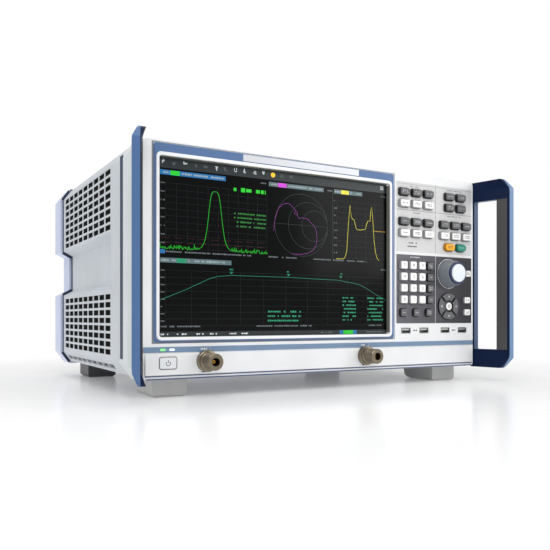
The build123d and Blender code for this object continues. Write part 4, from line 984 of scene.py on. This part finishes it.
def add_power_outline():
    """Outline round the power key."""
    bm = bmesh.new()
    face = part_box("port_fascia")[0][1]
    across, down = POWER_AT
    area = (across - 8.9, down - 6.0, across + 8.9, down + 6.0)
    ring(bm, area, 2.6, 0.75, face, face - 0.35 * MM)
    outline = coated("dark_outline", "#55565A", 0.4, 0.45, 0.1)
    make_piece("power_outline", bm, CABINET, slot="groove_dark", materials=(outline,))


class ANALYZER_OT_trim(bpy.types.Operator):
    """Add the plate, lines, painted reflection in the screen ring, painted shade round the surround,
    beads and marks round the panel
    """

    bl_idname = "analyzer.trim"
    bl_label = "Panel Trim"

    def execute(self, context):
        rng = random.Random(11)
        add_name_plate()
        add_gasket()
        add_surround_gap()
        add_edge_lines()
        add_field_lines(rng)
        add_field_marks(rng)
        add_pale_marks(rng)
        add_side_beads()
        add_power_outline()
        return {"FINISHED"}


def add_digits(height, ink):
    """The digits on the number keys."""
    bm = bmesh.new()
    front = key_front("digit_keys")
    for row, down in enumerate(DIGIT_ROWS):
        for column, across in enumerate(DIGIT_COLUMNS):
            digits(bm, DIGITS[row][column], across, down, height, front - 0.03 * MM)
    make_piece("digit_legends", bm, "digit_keys", slot="key_dark", materials=(ink,))


def add_key_marks(rng, dark, pale):
    """Short marks on the other keys, in place of words."""
    first, second, third, fourth, last = KEY_ROWS
    groups = (
        ("left_dark_keys", pale, [(a, row) for row in (first, third) for a in LEFT_COLUMNS]),
        ("left_light_keys", dark, [(a, row) for row in (second, fourth) for a in LEFT_COLUMNS]),
        ("right_upper_keys", pale, [(a, row) for row in (first, second) for a in PAIR_COLUMNS]),
        ("right_dark_keys", pale, [(a, third) for a in RIGHT_COLUMNS]),
        ("right_light_keys", dark, [(a, fourth) for a in RIGHT_COLUMNS]),
        ("orange_key", dark, [(PAIR_COLUMNS[0], last)]),
        ("green_key", pale, [(PAIR_COLUMNS[1], last)]),
        ("edit_keys", pale, [(UNIT_COLUMN, row) for row in DIGIT_ROWS] + list(EDIT_KEYS)),
        ("side_keys", dark, list(SIDE_KEYS)),
    )
    for body, ink, centres in groups:
        bm = bmesh.new()
        back, front = print_layer(key_front(body), 0.04)
        for across, down in centres:
            run = SHORT_MARK if body in ("edit_keys", "side_keys") else LONG_MARK
            rows = (0.0,) if rng.random() < 0.5 else (-MARK_HEIGHT, MARK_HEIGHT)
            for shift in rows:
                words(bm, rng, across - run / 2, down + shift, run, MARK_HEIGHT, back, front)
        make_piece(f"{body}_legends", bm, body, slot="key_dark", materials=(ink,))


def add_arrows(pale):
    """An arrow on each of the four arrow keys, all pointing outwards."""
    bm = bmesh.new()
    back, front = print_layer(key_front("arrow_keys"), 0.06)
    for turn in range(4):
        angle = math.radians(90 * turn)
        across = ARROWS_AT[0] + ARROW_REACH * math.cos(angle)
        down = ARROWS_AT[1] - ARROW_REACH * math.sin(angle)
        x, z = place(across, down)
        spin = Matrix.Rotation(-angle, 4, "Y") @ Matrix.Rotation(math.radians(90), 4, "X")
        bmesh.ops.create_cone(
            bm,
            segments=3,
            radius1=ARROW_RADIUS * MM,
            radius2=ARROW_RADIUS * MM,
            depth=back - front,
            cap_ends=True,
            matrix=Matrix.Translation((x, (back + front) / 2, z)) @ spin,
        )
    make_piece("arrow_marks", bm, "arrow_keys", slot="key_light", materials=(pale,))


def add_enter_mark(dark):
    """A small square on the enter key."""
    bm = bmesh.new()
    back, front = print_layer(key_front("enter_key"), 0.06)
    across, down = ARROWS_AT
    ring(bm, (across - 1.6, down - 1.6, across + 1.6, down + 1.6), 0.6, 0.55, back, front)
    make_piece("enter_mark", bm, "enter_key", slot="key_dark", materials=(dark,))


def add_power_sign(dark):
    """The broken ring and bar of the power sign."""
    bm = bmesh.new()
    back, front = print_layer(key_front("power_key"), 0.06)
    across, down = POWER_AT
    arc = [
        (
            across + 2.1 * math.sin(math.radians(angle)),
            down + 0.3 - 2.1 * math.cos(math.radians(angle)),
        )
        for angle in range(38, 323, 12)
    ]
    ribbon(bm, arc, 0.6, back, front)
    block(bm, across, down - 1.6, 0.6, 2.6, back, front)
    make_piece("power_sign", bm, "power_key", slot="key_dark", materials=(dark,))


class ANALYZER_OT_legends(bpy.types.Operator):
    """Print the digits and marks on the keys"""

    bl_idname = "analyzer.legends"
    bl_label = "Key Legends"

    def execute(self, context):
        rng = random.Random(5)
        dark = coated("dark_key_ink", "#3C3D40", 0.3, 0.5, 0.02)
        pale = coated("pale_key_ink", "#C9CACC", 0.3, 0.5, 0.02)
        add_digits(context.scene.analyzer_sizes.legend_height, dark)
        add_key_marks(rng, dark, pale)
        add_arrows(pale)
        add_enter_mark(dark)
        add_power_sign(dark)
        return {"FINISHED"}


class ANALYZER_OT_knob(bpy.types.Operator):
    """Add the navy ring and the white cap on the control knob"""

    bl_idname = "analyzer.knob"
    bl_label = "Knob Cap"

    def execute(self, context):
        bm = bmesh.new()
        turned(
            bm, *KNOB_AT,
            [(9.0, -17.0), (9.0, -17.5), (12.4, -17.5), (13.0, -17.2), (13.1, -15.5), (12.0, -15.5)],
        )
        navy = coated("navy_knob_ring", "#1F2E52", 0.4, 0.35, 0.08)
        make_piece("knob_ring", bm, "control_knob", slot="knob_grey", materials=(navy,))
        bm = bmesh.new()
        turned(
            bm, *KNOB_AT,
            [(0, -17.0), (10.4, -17.0), (10.4, -18.3), (10.2, -18.7), (9.7, -18.9), (0, -19.0)],
        )
        white = coated("white_knob_cap", "#E0E7EC", 0.5, 0.3, 0.05, coat=0.2)
        make_piece("knob_cap", bm, "control_knob", slot="knob_grey", materials=(white,))
        # A dimple near the rim shows which way the knob is turned
        bm = bmesh.new()
        disc(bm, KNOB_AT[0], KNOB_AT[1] - 7.0, 1.3, PANEL_FACE - 18.9 * MM, PANEL_FACE - 19.05 * MM)
        dimple = coated("pale_dimple", "#DDE2E6", 0.4, 0.4, 0.05)
        make_piece("knob_dimple", bm, "control_knob", slot="knob_grey", materials=(dimple,))
        return {"FINISHED"}


class ANALYZER_OT_ports(bpy.types.Operator):
    """Cut threads on the test ports and line their bores"""

    bl_idname = "analyzer.ports"
    bl_label = "Test Port Details"

    def execute(self, context):
        pitch = context.scene.analyzer_sizes.thread_pitch
        insulator_and_bore_shade = coated("brown_insulator_with_bore_shade", "#1D0E0A", 0.4, 0.4, 0.1)
        gold = brushed("gold_contact", "#D8A24A", 0.1, 0.25, "Y")
        ridge = brushed("warm_nickel_thread", "#7B7161", 0.12, 0.3, "Y")
        for name, (across, down) in PORTS_AT.items():
            bm = bmesh.new()
            profile = [(THREAD_ROOT, THREAD_START + 0.2)]
            depth = THREAD_START
            while depth > THREAD_END:
                profile += [
                    (THREAD_CREST, depth),
                    (THREAD_CREST, depth - 0.35 * pitch),
                    (THREAD_FLANK, depth - 0.65 * pitch),
                ]
                depth -= pitch
            profile.append((THREAD_ROOT, depth))
            turned(bm, across, down, profile)
            make_piece(f"{name}_thread", bm, CABINET, slot="connector_nickel", materials=(ridge,))
            # Dark brown lining: the insulator's own colour at the bore's bottom, and painted shade
            # along the bore's wall
            bm = bmesh.new()
            turned(bm, across, down, [(1.7, -12.0), (1.7, -12.4), (4.0, -12.4), (4.0, -12.0)])
            turned(bm, across, down, [(4.03, -12.2), (3.9, -12.2), (3.9, -21.8), (4.03, -21.8)])
            make_piece(f"{name}_lining", bm, CABINET, slot="inlet_plastic", materials=(insulator_and_bore_shade,))
            bm = bmesh.new()
            turned(
                bm, across, down,
                [(0.9, -18.2), (1.5, -18.2), (1.62, -18.0), (1.62, -13.0), (1.4, -13.0)],
            )
            make_piece(f"{name}_contact", bm, CABINET, slot="connector_nickel", materials=(gold,))
            # Flats milled in the flange, near black with painted shade
            bm = bmesh.new()
            for shift in (-6.5, 6.5):
                block(
                    bm, across + shift * 0.2, down - 9.75 * (1 if shift > 0 else -1), 6.4, 0.9,
                    PANEL_FACE - 1.9 * MM, PANEL_FACE - 4.4 * MM,
                )
            flat_shade = coated("flange_flat_painted_shade", "#2C2925", 0.3, 0.5, 0.1)
            make_piece(f"{name}_flats", bm, CABINET, slot="connector_nickel", materials=(flat_shade,))
        return {"FINISHED"}


class ANALYZER_OT_baffles(bpy.types.Operator):
    """Set dark sheets behind the slots of the side vents as painted shade"""

    bl_idname = "analyzer.baffles"
    bl_label = "Vent Painted Shade"

    def execute(self, context):
        bm = bmesh.new()
        low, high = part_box("side_vent_plates")
        length = high[1] - low[1]
        height = VENT_HEIGHT * MM
        size = Matrix.Diagonal((VENT_SHADE_THICKNESS * MM, length + 8 * MM, height + 2 * MM, 1.0))
        for side in (-1, 1):
            for middle in (low[2] + height / 2, high[2] - height / 2):
                spot = (side * (high[0] - VENT_SHADE_DEPTH * MM), (low[1] + high[1]) / 2, middle)
                bmesh.ops.create_cube(bm, size=1.0, matrix=Matrix.Translation(spot) @ size)
        vent_shade_sheet = coated("black_vent_painted_shade", "#050506", 1.0, 0.8, 0.5, shine=0.05)
        make_piece("vent_painted_shade", bm, CABINET, slot="seal_rubber", materials=(vent_shade_sheet,))
        return {"FINISHED"}


class ANALYZER_OT_stage(bpy.types.Operator):
    """Set up the floor, the soft lights and the camera"""

    bl_idname = "analyzer.stage"
    bl_label = "Stage"

    def execute(self, context):
        scene = context.scene
        bm = bmesh.new()
        bmesh.ops.create_grid(bm, x_segments=1, y_segments=1, size=8.0)
        mesh = bpy.data.meshes.new("studio_floor")
        bm.to_mesh(mesh)
        bm.free()
        floor = bpy.data.objects.new("studio_floor", mesh)
        scene.collection.objects.link(floor)
        mesh.materials.append(studio_floor())

        world = bpy.data.worlds.new("studio")
        world.use_nodes = True
        # The camera sees a plain white wall, brighter than the light the room gives
        tree = world.node_tree
        seen = add(tree, "ShaderNodeLightPath", {})
        strength = ranged(
            tree, seen.outputs["Is Camera Ray"], to_min=ROOM_LIGHT, to_max=WALL_LIGHT
        )
        wall = tree.nodes["Background"]
        wall.inputs["Color"].default_value = linear("#FFFFFF")
        tree.links.new(strength, wall.inputs["Strength"])
        scene.world = world
        scene.view_settings.view_transform = "Standard"

        for name, spot, size, power in LIGHTS:
            data = bpy.data.lights.new(name, "AREA")
            data.size = size
            data.energy = power
            lamp = bpy.data.objects.new(name, data)
            scene.collection.objects.link(lamp)
            lamp.location = spot
            aim = Vector(LIGHTS_AIM) - Vector(spot)
            lamp.rotation_euler = aim.to_track_quat("-Z", "Y").to_euler()

        camera_data = bpy.data.cameras.new("camera")
        camera = bpy.data.objects.new("camera", camera_data)
        scene.collection.objects.link(camera)
        camera_data.lens = scene.analyzer_sizes.camera_lens
        camera_data.sensor_width = 36.0
        camera_data.shift_y = CAMERA_SHIFT
        camera.location = CAMERA_PLACE
        camera.rotation_euler = (math.radians(90), 0.0, math.radians(CAMERA_TURN))
        scene.camera = camera
        return {"FINISHED"}


class ANALYZER_PT_panel(bpy.types.Panel):
    """Lists the operators in the sidebar"""

    bl_label = "Analyzer"
    bl_idname = "ANALYZER_PT_panel"
    bl_space_type = "VIEW_3D"
    bl_region_type = "UI"
    bl_category = "Analyzer"

    def draw(self, context):
        for operator in OPERATORS:
            self.layout.operator(operator.bl_idname)
        for name in AnalyzerSizes.__annotations__:
            self.layout.prop(context.scene.analyzer_sizes, name)


OPERATORS = (
    ANALYZER_OT_finishes,
    ANALYZER_OT_screen,
    ANALYZER_OT_trim,
    ANALYZER_OT_legends,
    ANALYZER_OT_knob,
    ANALYZER_OT_ports,
    ANALYZER_OT_baffles,
    ANALYZER_OT_stage,
)
CLASSES = (AnalyzerSizes, *OPERATORS, ANALYZER_PT_panel)


def register():
    for cls in CLASSES:
        bpy.utils.register_class(cls)
    bpy.types.Scene.analyzer_sizes = bpy.props.PointerProperty(type=AnalyzerSizes)


def unregister():
    del bpy.types.Scene.analyzer_sizes
    for cls in reversed(CLASSES):
        bpy.utils.unregister_class(cls)


def main():
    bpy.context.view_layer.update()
    register()
    bpy.ops.analyzer.finishes()
    bpy.ops.analyzer.screen()
    bpy.ops.analyzer.trim()
    bpy.ops.analyzer.legends()
    bpy.ops.analyzer.knob()
    bpy.ops.analyzer.ports()
    bpy.ops.analyzer.baffles()
    bpy.ops.analyzer.stage()


if __name__ == "__main__":
    main()
